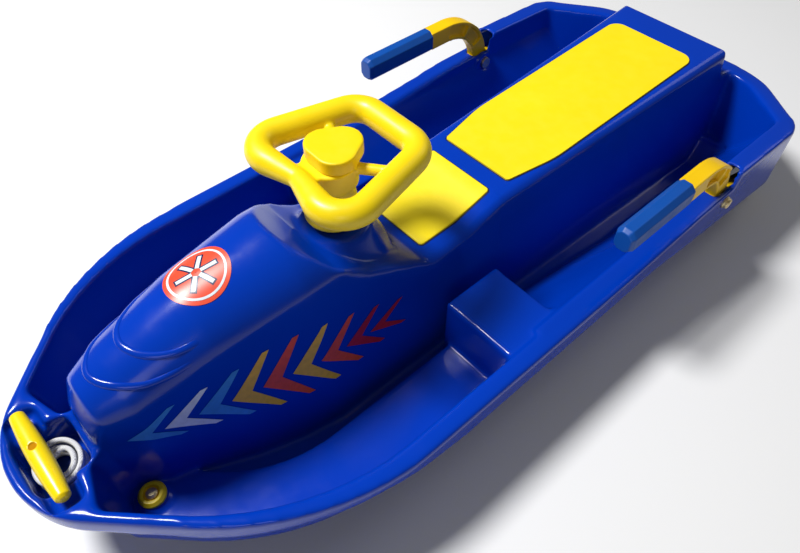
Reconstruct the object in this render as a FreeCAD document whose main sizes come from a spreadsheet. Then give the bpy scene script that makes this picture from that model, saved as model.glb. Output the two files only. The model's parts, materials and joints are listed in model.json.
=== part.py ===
import FreeCAD, Part
import math
import os
from types import SimpleNamespace

import Sketcher
from FreeCAD import Rotation, Vector

# A child's steering sled: one moulded hull with a hollow spine, a steering wheel that turns a ski
# under the spine, and a brake lever with a steel claw in the rim on each side.
# Nose towards -Y, +X to the rider's left, +Z up, ground at Z 0. Sizes are millimetres and degrees.
DIMENSIONS = {
    "length": 960, "half_width": 206, "wall": 4, "gap": 0.3, "fit": 0.05,
    # hull seen from above
    "nose_radius": 100, "bow_angle": 45, "bow_radius": 276, "stern_flat": 88, "stern_angle": 37,
    "stern_side_radius": 40, "stern_back_radius": 90, "rim_width": 27, "side_rim": 20, "bow_rim": 12,
    "rim_draft": 8,
    # rim and skirt seen from the side
    "rim_nose_z": 125, "rim_mid_z": 109, "rim_lever_z": 116, "rim_rear_z": 137, "rim_stern_z": 127,
    "rim_nose_y": 80, "rim_front_y": 252, "rim_back_y": 394, "rim_lever_y": 276, "rim_step_y": 209,
    "skirt_nose_z": 97, "skirt_mid_z": 77, "skirt_stern_z": 38, "skirt_front_y": 320,
    "skirt_back_y": 350,
    # foot wells, step blocks and hip slopes
    "ledge_z": 42, "ledge_edge_x": 107, "ledge_bow_y": 72, "ledge_bow_radius": 150, "well_back_y": 50,
    "keel_bow_y": 225, "keel_bow_angle": 12, "keel_stern_y": 75, "keel_stern_angle": 45,
    "block_inner_x": 97, "block_front_y": 400, "block_back_y": 474, "block_z": 102, "slope_front_x": 90,
    "slope_back_x": 112, "slope_turn_y": 290, "slope_top_x": 29, "slope_top_z": 104,
    # spine: tip, prow, brow, dome, crown, saddle and stern sections
    "tip_y": 67, "tip_base": 28, "tip_shoulder": 22, "tip_shoulder_z": 128, "tip_top_z": 150,
    "prow_y": 78, "prow_base": 32, "prow_shoulder": 31, "prow_shoulder_z": 143, "prow_top_z": 177,
    "brow_y": 105, "brow_base": 44, "brow_shoulder": 42, "brow_shoulder_z": 150, "brow_top_z": 190,
    "dome_y": 181, "dome_base": 70, "dome_shoulder": 50, "dome_shoulder_z": 178, "dome_top_z": 216,
    "crown_y": 268, "crown_base": 86, "crown_shoulder": 58, "crown_shoulder_z": 192,
    "crown_top_z": 230, "seat_base": 86, "seat_shoulder": 58, "stern_base": 98, "stern_shoulder": 80,
    "scoop_front_y": 302, "scoop_front_z": 195, "scoop_mid_y": 335, "scoop_mid_z": 171, "scoop_back_y": 362,
    "scoop_back_z": 158, "saddle_y": 405, "saddle_z": 135, "platform_z": 192, "pedestal_dia": 68,
    "pedestal_foot_dia": 108, "pedestal_foot_z": 148, "fold_y": 462, "fold_z": 137, "seat_front_y": 512,
    "seat_front_z": 151, "seat_back_y": 46, "seat_back_z": 167.5,
    # seat pads
    "pad_proud": 1.5, "pad_recess": 2.5, "pad_groove": 1.2, "front_pad_half": 44, "front_pad_y": 413,
    "rear_pad_front_half": 47.5, "rear_pad_kink_half": 59.5, "rear_pad_back_half": 60.7,
    "rear_pad_front_y": 536, "rear_pad_kink_y": 600, "rear_pad_back_y": 93, "pad_corner": 4,
    "rear_pad_kink": 150, "rear_pad_corner": 16,
    # nose deck, tow cord and pull handle
    "deck_half": 70, "deck_y": 44, "deck_waist_half": 30, "deck_waist_y": 56, "deck_back_half": 24,
    "deck_back_y": 78, "deck_drop": 1.5, "deck_draft": 9,
    "handle_y": 29, "handle_z": 127, "handle_half": 49, "handle_mid_dia": 18, "handle_end_dia": 11,
    "handle_flat": 7, "handle_tip": 5, "dimple_dia": 7, "dimple_depth": 1.5, "trough_margin": 4.5,
    "trough_z": 112, "hank_y": 36, "hank_pit_z": 86, "hank_pit_half_x": 28, "hank_pit_half_y": 24,
    "cord_dia": 4.5, "cord_gap": 1.5, "hank_half_x": 14, "hank_half_y": 11, "hank_end_x": 5.5,
    "cord_bend": 5, "eyelet_dia": 14, "eyelet_bore": 11, "eyelet_flange_dia": 20, "eyelet_flange": 1.5,
    "knot_dia": 13,
    # steering
    "column_y": 342, "shaft_dia": 16, "shaft_low_z": 12, "shaft_high_z": 24, "seat_disc_dia": 60,
    "seat_disc_z": 180, "flange_dia": 60, "flange_thick": 5, "tube_dia": 34, "tube_low_z": 62,
    "bush_dia": 24, "bush_length": 20, "bush_flange_dia": 31, "bush_flange": 3, "tube_stand": 4,
    "boss_foot_dia": 57, "boss_waist_dia": 46, "boss_top_dia": 40, "boss_waist_z": 214,
    "hub_low_z": 38, "hub_dia": 50, "hub_top_z": 14, "cap_top_z": 276, "cap_radius": 34,
    "cap_y": 348.5, "cap_spigot_dia": 15, "collar_dia": 28, "collar_height": 8, "cross_pin_dia": 5,
    "cross_pin_z": 224, "wheel_z": 16, "grip_tube_dia": 26, "wheel_front_half": 73,
    "wheel_rear_half": 43, "wheel_front_y": 295, "wheel_rear_y": 414, "wheel_dip_y": 309,
    "wheel_dip_dia": 18, "wheel_corner": 24, "spoke_dia": 11, "spoke_end_half": 50, "spoke_end_y": 381,
    "web_half": 15, "screw_dia": 5, "screw_circle": 46, "screw_head_dia": 9, "screw_head": 3.5,
    "screw_grip": 12,
    # steering ski
    "ski_front_y": 237, "ski_curl_y": 280, "ski_back_y": 427, "ski_width": 44, "ski_sole": 6,
    "ski_curl_z": 22, "ski_hub_dia": 34, "ski_hub_top_z": 46, "ski_rib_width": 8, "ski_rib_z": 26,
    "ski_rib_front_y": 284, "ski_rib_back_y": 402, "ski_bolt_dia": 6, "ski_bolt_z": 32,
    # runner rods
    "rod_dia": 8, "rod_flat": 0.5, "rod_x": 92, "rod_bow_radius": 130, "rod_bow_lead": 30,
    "rod_stern_radius": 12, "rod_stern_run": 22, "rod_front_x": 48, "rod_front_y": 80, "eye_z": 27,
    "eye_dia": 20, "eye_thick": 6, "anchor_dia": 30, "anchor_top_z": 46.5, "socket_dia": 19,
    "socket_depth": 10, "cup_dia": 26, "cup_height": 6, "cup_rim": 2.5, "cup_bowl_dia": 15,
    "rod_bolt_dia": 6, "rod_bolt_head_dia": 11, "rod_bolt_head": 4, "nut_height": 5, "nut_across": 10,
    # brake levers
    "lever_x": 15, "pivot_y": 220, "pivot_z": 104, "lever_thick": 13, "lever_depth": 23, "arc_y": 290,
    "arc_z": 101, "arc_radius": 70, "lever_hub_dia": 32, "slot_front_y": 234.3, "slot_back_y": 196,
    "slot_gap": 1.5, "web_depth": 3.5, "web_edge": 4, "web_start": 28, "web_end": 88, "web_rib": 4,
    "tail_y": 84, "tail_z": 62, "tail_depth": 18, "core_height": 15, "core_thick": 9,
    "grip_front_y": 423, "grip_back_y": 319, "grip_height": 28, "grip_wide": 22, "grip_chamfer": 6,
    "grip_end": 5, "claw_thick": 5, "claw_root_y": 114, "claw_tip_y": 50, "claw_tip_z": 13,
    "claw_knee_y": 72, "claw_knee_z": 40, "claw_width": 15, "rivet_dia": 5, "rivet_front_y": 106,
    "rivet_back_y": 92, "rivet_head_dia": 9, "rivet_head": 2, "brake_bolt_dia": 8, "brake_head_dia": 15,
    "brake_head": 4.5, "brake_seat_x": 30.5, "brake_boss_dia": 28, "brake_boss_x": 22.3,
    "brake_recess_dia": 19, "sleeve_dia": 12, "spacer_dia": 15, "brake_nut_across": 13,
    "brake_nut_height": 6,
}

# Places along the sled are measured back from the nose or forward from the stern, and some across from
# the side, so each group stays with its end when the length or the width is changed. The wheel's heights
# are measured down from the top of its cap.
FROM_NOSE = ("rim_nose_y", "rim_front_y", "skirt_front_y", "ledge_bow_y", "keel_bow_y", "block_front_y",
    "block_back_y", "tip_y", "prow_y", "brow_y", "dome_y", "crown_y", "saddle_y", "fold_y",
    "seat_front_y", "front_pad_y", "rear_pad_front_y", "rear_pad_kink_y", "deck_y", "deck_waist_y",
    "deck_back_y", "handle_y", "hank_y", "column_y", "cap_y", "wheel_front_y", "wheel_rear_y",
    "spoke_end_y", "ski_front_y", "ski_curl_y", "ski_back_y", "ski_rib_front_y", "ski_rib_back_y",
    "rod_front_y", "scoop_front_y", "scoop_mid_y", "scoop_back_y", "wheel_dip_y")
FROM_STERN = ("rim_back_y", "rim_lever_y", "rim_step_y", "skirt_back_y", "well_back_y", "keel_stern_y",
    "slope_turn_y", "seat_back_y", "rear_pad_back_y", "pivot_y", "arc_y", "slot_front_y", "slot_back_y",
    "tail_y", "grip_front_y", "grip_back_y", "claw_root_y", "claw_tip_y", "claw_knee_y", "rivet_front_y",
    "rivet_back_y")
FROM_SIDE = ("stern_flat", "slope_top_x", "lever_x", "brake_seat_x", "brake_boss_x")
FROM_CAP = ("shaft_high_z", "hub_low_z", "hub_top_z", "wheel_z")

CORD_LAYERS = 4
TURNS_PER_LAYER = 1.5
DEEP = 60      # how far cutting solids run past the hull
HIGH = 400


class Size:
    """A number that keeps the sheet expression it came from."""

    def __init__(self, value, text):
        self.value = float(value)
        self.text = text

    def __float__(self):
        return self.value

    def join(self, other, sign, value):
        return Size(value, f"({self.text} {sign} {size(other).text})")

    def __add__(self, other):
        return self.join(other, "+", self.value + float(other))

    def __sub__(self, other):
        return self.join(other, "-", self.value - float(other))

    def __mul__(self, other):
        return self.join(other, "*", self.value * float(other))

    def __truediv__(self, other):
        return self.join(other, "/", self.value / float(other))

    def __neg__(self):
        return Size(-self.value, f"(0 - {self.text})")


def size(number):
    return number if isinstance(number, Size) else Size(number, str(float(number)))


doc = FreeCAD.newDocument("steering_sled")
sheet = doc.addObject("Spreadsheet::Sheet", "dims")
for row, (alias, number) in enumerate(DIMENSIONS.items(), start=1):
    sheet.set(f"A{row}", alias)
    sheet.set(f"B{row}", str(number))
    sheet.setAlias(f"B{row}", alias)
doc.recompute()

V = SimpleNamespace(**{alias: float(sheet.get(alias)) for alias in DIMENSIONS})
D = SimpleNamespace(**{alias: Size(sheet.get(alias), f"dims.{alias}") for alias in DIMENSIONS})
for read in (V, D):
    for alias in FROM_NOSE:
        setattr(read, alias, getattr(read, alias) - read.length / 2)
    for alias in FROM_STERN:
        setattr(read, alias, read.length / 2 - getattr(read, alias))
    for alias in FROM_SIDE:
        setattr(read, alias, read.half_width - getattr(read, alias))
    for alias in FROM_CAP:
        setattr(read, alias, read.cap_top_z - getattr(read, alias))
ZERO = size(0)
NODES = []
UP = Vector(0, 0, 1)
ACROSS = Vector(1, 0, 0)


# Document helpers

def bind(thing, **sizes):
    for name, value in sizes.items():
        thing.setExpression(name, size(value).text)


def place(thing, at, axis="Z"):
    """Put a piece made along Z at a point, turned to lie along the named axis."""
    turn = {"Z": Rotation(), "X": Rotation(Vector(0, 1, 0), 90), "-X": Rotation(Vector(0, 1, 0), -90)}[axis]
    thing.Placement = FreeCAD.Placement(Vector(*[float(value) for value in at]), turn)
    for name, value in zip("xyz", at):
        thing.setExpression(f"Placement.Base.{name}", size(value).text)


def keep(thing, label):
    """Hand a finished object in as a node of that name."""
    thing.Label = label
    NODES.append(thing)
    return thing


def formed(label, shape):
    """A piece whose shape is made by the functions below from the sheet's values."""
    thing = doc.addObject("Part::Feature", label)
    thing.Shape = shape
    thing.Placement = FreeCAD.Placement()
    return keep(thing, label)


def pin_corner(sketch, line, kind, axis, value):
    if float(value) == 0:
        sketch.addConstraint(Sketcher.Constraint("PointOnObject", line, 1, axis))
        return
    index = sketch.addConstraint(Sketcher.Constraint(kind, -1, 1, line, 1, float(value)))
    sketch.setExpression(f"Constraints[{index}]", size(value).text)


def turned(label, outline, at, axis="Z"):
    """A body of revolution: outline holds (radius, height) corners above its foot."""
    body = doc.addObject("PartDesign::Body", label)
    sketch = body.newObject("Sketcher::SketchObject", f"{label}_outline")
    plane = [item for item in body.Origin.OriginFeatures if item.Role == "XZ_Plane"][0]
    sketch.AttachmentSupport = [(plane, "")]
    sketch.MapMode = "FlatFace"
    corners = [Vector(float(radius), float(height), 0) for radius, height in outline]
    for line, corner in enumerate(corners):
        sketch.addGeometry(Part.LineSegment(corner, corners[(line + 1) % len(corners)]))
    for line, (radius, height) in enumerate(outline):
        sketch.addConstraint(Sketcher.Constraint("Coincident", line, 2, (line + 1) % len(outline), 1))
        pin_corner(sketch, line, "DistanceX", -2, radius)
        pin_corner(sketch, line, "DistanceY", -1, height)
    turn = body.newObject("PartDesign::Revolution", f"{label}_turn")
    turn.Profile = sketch
    turn.ReferenceAxis = (sketch, ["V_Axis"])
    turn.Angle = 360
    place(body, at, axis)
    return body


def ring(label, bore, outside, height, at, axis="Z"):
    """A plain bush, washer or collar."""
    outline = [(bore / 2, ZERO), (outside / 2, ZERO), (outside / 2, height), (bore / 2, height)]
    return turned(label, outline, at, axis)


def headed(label, shank, length, head, head_height, at, axis="Z"):
    """A bolt or screw: its head at the foot and its shank above."""
    outline = [(ZERO, ZERO), (head / 2, ZERO), (head / 2, head_height), (shank / 2, head_height),
               (shank / 2, head_height + length), (ZERO, head_height + length)]
    return turned(label, outline, at, axis)


def nut(label, across, height, bore, at, axis="Z"):
    block = doc.addObject("Part::Prism", f"{label}_block")
    block.Polygon = 6
    bind(block, Circumradius=across / math.sqrt(3), Height=height)
    hole = doc.addObject("Part::Cylinder", f"{label}_hole")
    bind(hole, Radius=bore / 2, Height=height)
    cut = doc.addObject("Part::Cut", label)
    cut.Base = block
    cut.Tool = hole
    place(cut, at, axis)
    return cut


def group(label, pieces):
    bundle = doc.addObject("Part::Compound", label)
    bundle.Links = pieces
    return keep(bundle, label)


# Shape helpers

def inset(points, distance):
    """Move every side of a convex outline, drawn anticlockwise, inwards."""
    moved = []
    for before, here, after in zip(points[-1:] + points[:-1], points, points[1:] + points[:1]):
        first = (here - before).normalize()
        second = (after - here).normalize()
        normals = [Vector(-side.y, side.x, 0) for side in (first, second)]
        share = distance / (1 + normals[0].dot(normals[1]))
        moved.append(here + (normals[0] + normals[1]) * share)
    return moved


def rounded(points, radii):
    """A closed wire through the corners, each rounded to its radius."""
    corners = []
    befores = points[-1:] + points[:-1]
    afters = points[1:] + points[:1]
    for before, here, after, radius in zip(befores, points, afters, radii):
        back = (before - here).normalize()
        on = (after - here).normalize()
        half = back.getAngle(on) / 2
        middle = here + (back + on).normalize() * (radius / math.sin(half) - radius)
        reach = radius / math.tan(half)
        corners.append((here + back * reach, middle, here + on * reach))
    edges = []
    for (start, middle, end), follower in zip(corners, corners[1:] + corners[:1]):
        edges.append(Part.Arc(start, middle, end).toShape())
        edges.append(Part.LineSegment(end, follower[0]).toShape())
    return Part.Wire(edges)


def prism(wire, low, high):
    face = Part.Face(wire)
    face.translate(Vector(0, 0, low))
    return face.extrude(Vector(0, 0, high - low))


def side_prism(points, half):
    """A polygon of (y, z) points, run across the sled from -half to +half."""
    wire = Part.makePolygon([Vector(-half, y, z) for y, z in points + points[:1]])
    return Part.Face(wire).extrude(Vector(2 * half, 0, 0))


def box(x_range, y_range, z_range):
    corner = Vector(x_range[0], y_range[0], z_range[0])
    spans = [high - low for low, high in (x_range, y_range, z_range)]
    return Part.makeBox(*spans, corner)


def cylinder(diameter, start, end):
    return Part.makeCylinder(diameter / 2, (end - start).Length, start, end - start)


def both_sides(shape):
    return [shape, shape.mirror(Vector(0, 0, 0), ACROSS)]


def tidy(shape):
    return shape.removeSplitter()


# The hull

def outline_points(distance):
    """Corners of the hull from above, moved inwards, anticlockwise from the nose."""
    bow = math.radians(V.bow_angle)
    nose_y = V.length / 2 + V.nose_radius * (1 / math.cos(bow) - 1)
    bow_y = V.half_width * math.tan(bow) - nose_y
    side_y = V.length / 2 - (V.half_width - V.stern_flat) * math.tan(math.radians(V.stern_angle))
    right = [(V.half_width, bow_y), (V.half_width, side_y), (V.stern_flat, V.length / 2)]
    points = [Vector(0, -nose_y, 0)] + [Vector(x, y, 0) for x, y in right]
    points += [Vector(-x, y, 0) for x, y in reversed(right)]
    return inset(points, distance)


def outline(distance, forward=0):
    """The hull's outline moved inwards, with its two bow sides drawn forward."""
    smallest = V.wall
    points = outline_points(distance)
    for corner in (-1, 0, 1):
        points[corner] = points[corner] - Vector(0, forward, 0)
    right = [V.bow_radius, V.stern_side_radius, V.stern_back_radius]
    radii = [V.nose_radius] + right + right[::-1]
    return rounded(points, [max(radius - distance, smallest) for radius in radii])


def rim_line(drop):
    end = V.length / 2 + DEEP
    step = V.wall
    line = [(-end, V.rim_nose_z), (V.rim_nose_y, V.rim_nose_z), (V.rim_front_y, V.rim_mid_z),
            (V.rim_back_y, V.rim_mid_z), (V.rim_lever_y, V.rim_lever_z), (V.rim_step_y, V.rim_lever_z),
            (V.rim_step_y + step, V.rim_rear_z), (end, V.rim_stern_z)]
    return [(y, z - drop) for y, z in line]


def keel_z():
    return V.rod_dia - V.rod_flat + V.gap


def keel_line(raised):
    """The underside of the well floors from the side, raised to the floor's top by the wall."""
    end = V.length / 2 + DEEP
    low = keel_z() + raised
    bow = (V.keel_bow_y + end) * math.tan(math.radians(V.keel_bow_angle))
    stern = (end - V.keel_stern_y) * math.tan(math.radians(V.keel_stern_angle))
    return [(-end, low + bow), (V.keel_bow_y, low), (V.keel_stern_y, low), (end, low + stern)]


def under(line, half=None):
    """Everything below a side line."""
    points = [(line[0][0], -DEEP)] + line + [(line[-1][0], -DEEP)]
    return side_prism(points, half or V.half_width + DEEP)


def above(line, half=None):
    points = [(line[0][0], HIGH)] + line + [(line[-1][0], HIGH)]
    return side_prism(points[::-1], half or V.half_width + DEEP)


def seat_line(drop):
    """The top of the spine behind the crown, lowered and drawn forward for its inner face."""
    stern_z = V.rim_stern_z + V.wall
    end = V.length / 2 + DEEP
    return [(V.crown_y - drop, HIGH), (V.crown_y - drop, V.crown_top_z),
            (V.scoop_front_y - drop, V.scoop_front_z - drop),
            (V.scoop_mid_y - drop / 2, V.scoop_mid_z - drop),
            (V.scoop_back_y - drop / 2, V.scoop_back_z - drop), (V.saddle_y, V.saddle_z - drop),
            (V.fold_y, V.fold_z - drop), (V.seat_front_y, V.seat_front_z - drop),
            (V.seat_back_y - drop, V.seat_back_z - drop), (V.seat_back_y + V.wall - drop, stern_z - drop),
            (end, stern_z - drop)]


def spine_section(y, base, shoulder, shoulder_z, top_z, trim):
    base, shoulder, shoulder_z, top_z = (value - trim for value in (base, shoulder, shoulder_z, top_z))
    slant = (base - shoulder) / shoulder_z
    foot = base + slant * DEEP
    corners = [Vector(-foot, y, -DEEP), Vector(foot, y, -DEEP), Vector(shoulder, y, shoulder_z),
               Vector(-shoulder, y, shoulder_z)]
    sides = [Part.LineSegment(corners[index], corners[(index + 1) % 4]).toShape() for index in (0, 1, 3)]
    top = Part.Arc(corners[2], Vector(0, y, top_z), corners[3]).toShape()
    return Part.Wire([sides[0], sides[1], top, sides[2]])


def spine(trim):
    crown = (V.crown_shoulder_z, V.crown_top_z)
    stations = [(V.tip_y + trim, V.tip_base, V.tip_shoulder, V.tip_shoulder_z, V.tip_top_z),
                (V.prow_y, V.prow_base, V.prow_shoulder, V.prow_shoulder_z, V.prow_top_z),
                (V.brow_y, V.brow_base, V.brow_shoulder, V.brow_shoulder_z, V.brow_top_z),
                (V.dome_y, V.dome_base, V.dome_shoulder, V.dome_shoulder_z, V.dome_top_z),
                (V.crown_y, V.crown_base, V.crown_shoulder) + crown,
                (V.seat_front_y, V.seat_base, V.seat_shoulder) + crown,
                (V.length / 2 - V.wall - trim, V.stern_base, V.stern_shoulder) + crown]
    body = Part.makeLoft([spine_section(*station, trim) for station in stations], True, True)
    return body.cut(above(seat_line(trim))).fuse(pedestal(trim))


def pedestal(trim):
    """The round rise under the steering wheel's boss."""
    rise = V.platform_z - V.pedestal_foot_z
    run = (V.pedestal_foot_dia - V.pedestal_dia) / 2
    inner = trim * (math.hypot(rise, run) - run) / rise
    foot = Vector(0, V.column_y, V.pedestal_foot_z - trim)
    return Part.makeCone(V.pedestal_foot_dia / 2 - inner, V.pedestal_dia / 2 - inner, rise, foot, UP)


def block_middle():
    return (V.block_front_y + V.block_back_y) / 2


def pocket(rim, forward, trim):
    """A pocket over the whole hull inside a rim of this width."""
    steep = V.rim_draft / (V.rim_mid_z - V.ledge_z)
    low = V.ledge_z - trim
    wide = rim + V.rim_draft - trim
    wires = []
    for z, distance in ((low, wide), (HIGH / 2, wide - steep * (HIGH / 2 - low))):
        wire = outline(distance, forward)
        wire.translate(Vector(0, 0, z))
        wires.append(wire)
    return Part.makeLoft(wires, True, True)


def well_walls(trim):
    """The foot wells before the spine divides them: the rim is narrower in front of the step blocks."""
    forward = (V.side_rim - V.bow_rim) / math.cos(math.radians(V.bow_angle))
    reach = V.half_width
    ahead = box((-reach, reach), (-V.length, block_middle() + trim), (-DEEP, HIGH))
    return pocket(V.rim_width, 0, trim).fuse(pocket(V.side_rim, forward, trim).common(ahead))


def gutters(trim):
    """The deeper channels beside the spine: narrow in front, full width behind the step blocks."""
    middle = block_middle()
    points = [Vector(0, V.ledge_bow_y, 0), Vector(V.ledge_edge_x, V.ledge_bow_y + V.ledge_edge_x, 0),
              Vector(V.ledge_edge_x, middle, 0), Vector(-V.ledge_edge_x, middle, 0),
              Vector(-V.ledge_edge_x, V.ledge_bow_y + V.ledge_edge_x, 0)]
    small = V.wall
    wide = V.ledge_bow_radius
    edge = rounded(inset(points, -trim), [small, wide, small, small, wide])
    front = prism(edge, -DEEP, V.ledge_z + small)
    half = V.slope_top_x - V.rim_draft - V.wall + trim
    back = box((-half, half), (middle - trim, V.well_back_y + trim), (-DEEP, V.ledge_z + small))
    return front.fuse(back).common(above(keel_line(V.wall - trim)))


def step_block(trim):
    return box((V.block_inner_x + trim, V.half_width - V.wall * 1.5),
               (V.block_front_y + trim, V.block_back_y - trim), (-DEEP, V.block_z - trim))


def hip_slope(trim):
    """The slanted inner wall behind a step block."""
    rise = V.slope_top_z - keel_z() - V.wall
    outer = V.half_width - V.wall * 1.5
    wires = []
    for y, foot in ((V.block_back_y - V.wall, V.slope_front_x), (V.slope_turn_y, V.slope_back_x),
                    (V.well_back_y + V.wall, V.slope_back_x)):
        run = V.slope_top_x - foot
        shift = trim * math.hypot(rise, run) / rise
        low_x = foot + shift - run / rise * (keel_z() + V.wall + DEEP)
        corners = [Vector(low_x, y, -DEEP), Vector(outer, y, -DEEP), Vector(outer, y, V.slope_top_z - trim),
                   Vector(V.slope_top_x + shift - run / rise * trim, y, V.slope_top_z - trim)]
        wires.append(Part.makePolygon(corners + corners[:1]))
    return Part.makeLoft(wires, True, True)


def nose_deck(trim):
    """The deck that holds the cord, with its trough and pit."""
    top = V.rim_nose_z - V.deck_drop - trim
    front = -V.length / 2 + V.wall / 2 + trim
    half = [(V.deck_half, front), (V.deck_half, V.deck_y), (V.deck_waist_half, V.deck_waist_y),
            (V.deck_back_half, V.deck_back_y)]
    points = [Vector(x, y, 0) for x, y in half] + [Vector(-x, y, 0) for x, y in reversed(half)]
    spread = V.deck_draft / (V.rim_nose_z - V.ledge_z) * (top + DEEP)
    wires = []
    for z, distance in ((-DEEP, trim - spread), (top, trim)):
        corners = [point + UP * z for point in inset(points, distance)]
        wires.append(Part.makePolygon(corners + corners[:1]))
    solid = Part.makeLoft(wires, True, True).common(prism(outline(trim), -DEEP, HIGH))
    return solid.cut(cord_trough(trim))


def cord_trough(trim):
    half = V.handle_half + V.trough_margin + trim
    side = V.handle_mid_dia / 2 + V.trough_margin + trim
    trough = box((-half, half), (V.handle_y - side, V.handle_y + side), (V.trough_z - trim, HIGH))
    pit_x = V.hank_pit_half_x + trim
    pit_y = V.hank_pit_half_y + trim
    pit = box((-pit_x, pit_x), (V.hank_y - pit_y, V.hank_y + pit_y), (V.hank_pit_z - trim, HIGH))
    return trough.fuse(pit)


def under_skin(trim):
    """All that lies under the hull's skin: its outer face at 0, its inner face at the wall."""
    body = prism(outline(trim), -DEEP, HIGH).common(under(rim_line(trim)))
    body = body.cut(well_walls(trim)).cut(gutters(trim))
    body = body.cut(cord_trough(trim))
    extras = [spine(trim).common(prism(outline(trim), -DEEP, HIGH)), nose_deck(trim)]
    extras += both_sides(step_block(trim))
    extras += both_sides(hip_slope(trim).common(prism(outline(trim), -DEEP, HIGH)))
    return body.multiFuse(extras).cut(cord_trough(trim))


def skirt_trim():
    """What lies outside the well walls below the skirt's edge."""
    end = V.length / 2 + DEEP
    line = [(-end, V.skirt_nose_z), (V.keel_bow_y, V.skirt_nose_z - V.wall),
            (V.skirt_front_y, V.skirt_mid_z), (V.skirt_back_y, V.skirt_mid_z),
            (end - DEEP, V.skirt_stern_z), (end, V.skirt_stern_z)]
    shell = prism(outline(-V.wall), -DEEP * 2, HIGH).cut(prism(outline(V.wall + V.gap), -DEEP * 2, HIGH))
    points = [(line[0][0], -DEEP * 2)] + line + [(line[-1][0], -DEEP * 2)]
    return shell.common(side_prism(points, V.half_width + DEEP))


def pivot(x):
    return Vector(x, V.pivot_y, V.pivot_z)


def anchor_foot():
    return V.eye_z + V.eye_thick / 2


def rod_anchor():
    foot = Vector(V.rod_front_x, V.rod_front_y, anchor_foot())
    return cylinder(V.anchor_dia, foot, Vector(foot.x, foot.y, V.anchor_top_z))


def hull_shape():
    skin = under_skin(0).cut(under_skin(V.wall)).cut(skirt_trim())
    bosses = both_sides(cylinder(V.brake_boss_dia, pivot(V.brake_seat_x - 2), pivot(V.brake_boss_x)))
    bosses += both_sides(rod_anchor())
    bosses += both_sides(cylinder(V.socket_dia, rod_end(-V.socket_depth), rod_end(V.wall)))
    foot = Vector(0, V.column_y, V.seat_disc_z)
    bosses.append(cylinder(V.seat_disc_dia, foot, Vector(0, V.column_y, V.platform_z - 1)))
    skin = skin.multiFuse(bosses)
    half = V.lever_thick / 2 + V.slot_gap
    slot = box((V.lever_x - half, V.lever_x + half), (V.slot_front_y, V.slot_back_y), (V.pivot_z, HIGH))
    cuts = both_sides(slot)
    recess_x = V.brake_seat_x - DEEP / 2
    cuts += both_sides(cylinder(V.brake_recess_dia, pivot(recess_x), pivot(V.brake_seat_x)))
    bolt_dia = V.brake_bolt_dia + 2 * V.fit
    cuts += both_sides(cylinder(bolt_dia, pivot(recess_x), pivot(V.half_width + DEEP)))
    bolt = Vector(V.rod_front_x, V.rod_front_y, 0)
    cuts += both_sides(cylinder(V.rod_bolt_dia + 2 * V.fit, bolt, bolt + UP * HIGH))
    cuts += both_sides(cylinder(V.rod_dia + 2 * V.fit, rod_end(-V.socket_depth * 2), rod_end(0)))
    column = Vector(0, V.column_y, 0)
    cuts.append(cylinder(V.tube_dia + 2 * V.fit, column, column + UP * HIGH))
    for place_at in screw_places():
        start = Vector(place_at.x, place_at.y, 0)
        cuts.append(cylinder(V.screw_dia, start, start + UP * (screw_tip_z() + V.gap)))
    eyelet = Vector(V.hank_end_x, lead_y(), 0)
    cuts.append(cylinder(V.eyelet_dia, eyelet, eyelet + UP * HIGH))
    cuts += [pad_block(points, radii, V.pad_groove, -V.pad_recess, HIGH) for points, radii in pads()]
    for cut in cuts:
        skin = skin.cut(cut)
    return tidy(skin)


# Seat pads

def pads():
    front = [(V.front_pad_half, V.front_pad_y), (V.front_pad_half, V.seat_front_y)]
    rear = [(V.rear_pad_front_half, V.rear_pad_front_y), (V.rear_pad_kink_half, V.rear_pad_kink_y),
            (V.rear_pad_back_half, V.rear_pad_back_y)]
    small = V.pad_corner
    rear_radii = [small, V.rear_pad_kink, V.rear_pad_corner]
    return [(front, [small] * 4), (rear, rear_radii + rear_radii[::-1])]


def pad_block(half, radii, margin, low, high):
    """The slice of a pad's outline between two heights over the seat line."""
    points = [Vector(x, y, 0) for x, y in half] + [Vector(-x, y, 0) for x, y in reversed(half)]
    solid = prism(rounded(inset(points, -margin), radii), 0, HIGH)
    solid = solid.common(above(seat_line(-low), V.half_width))
    return solid if high >= HIGH else solid.cut(above(seat_line(-high), V.half_width))


# Tow cord and pull handle

def lead_y():
    return V.hank_y - V.cord_dia - V.cord_bend


def turn_point(angle):
    """A place on the hank: loops spiral out, climb and spiral in again, a layer at a time."""
    pitch = V.cord_dia + V.cord_gap
    turns = angle / (2 * math.pi)
    layer_turns = TURNS_PER_LAYER + 0.5
    layer = min(int(turns / layer_turns), CORD_LAYERS - 1)
    along = turns - layer * layer_turns
    spread = min(along, TURNS_PER_LAYER)
    climb = max(along - TURNS_PER_LAYER, 0) / 0.5
    if layer % 2:
        spread = TURNS_PER_LAYER - spread
    height = V.hank_pit_z + V.gap + V.cord_dia / 2 + (layer + climb * climb * (3 - 2 * climb)) * pitch
    last = (CORD_LAYERS - 1) * layer_turns + TURNS_PER_LAYER
    drawn = max(0, 1 - min(turns, last - turns) * 4) * (V.hank_half_x - V.hank_end_x)
    wide = V.hank_half_x + spread * pitch - drawn
    long = V.hank_half_y + spread * pitch
    return Vector(wide * math.cos(angle), V.hank_y + long * math.sin(angle), height)


def arc_from(start, heading, end):
    chord = end - start
    lean = chord.getAngle(heading)
    if lean < 1e-6:
        return Part.LineSegment(start, end).toShape()
    direct = Vector(chord).normalize()
    side = (heading - direct * heading.dot(direct)).normalize()
    middle = (start + end) * 0.5 + side * (chord.Length / 2 * math.tan(lean / 2))
    return Part.Arc(start, middle, end).toShape()


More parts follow.
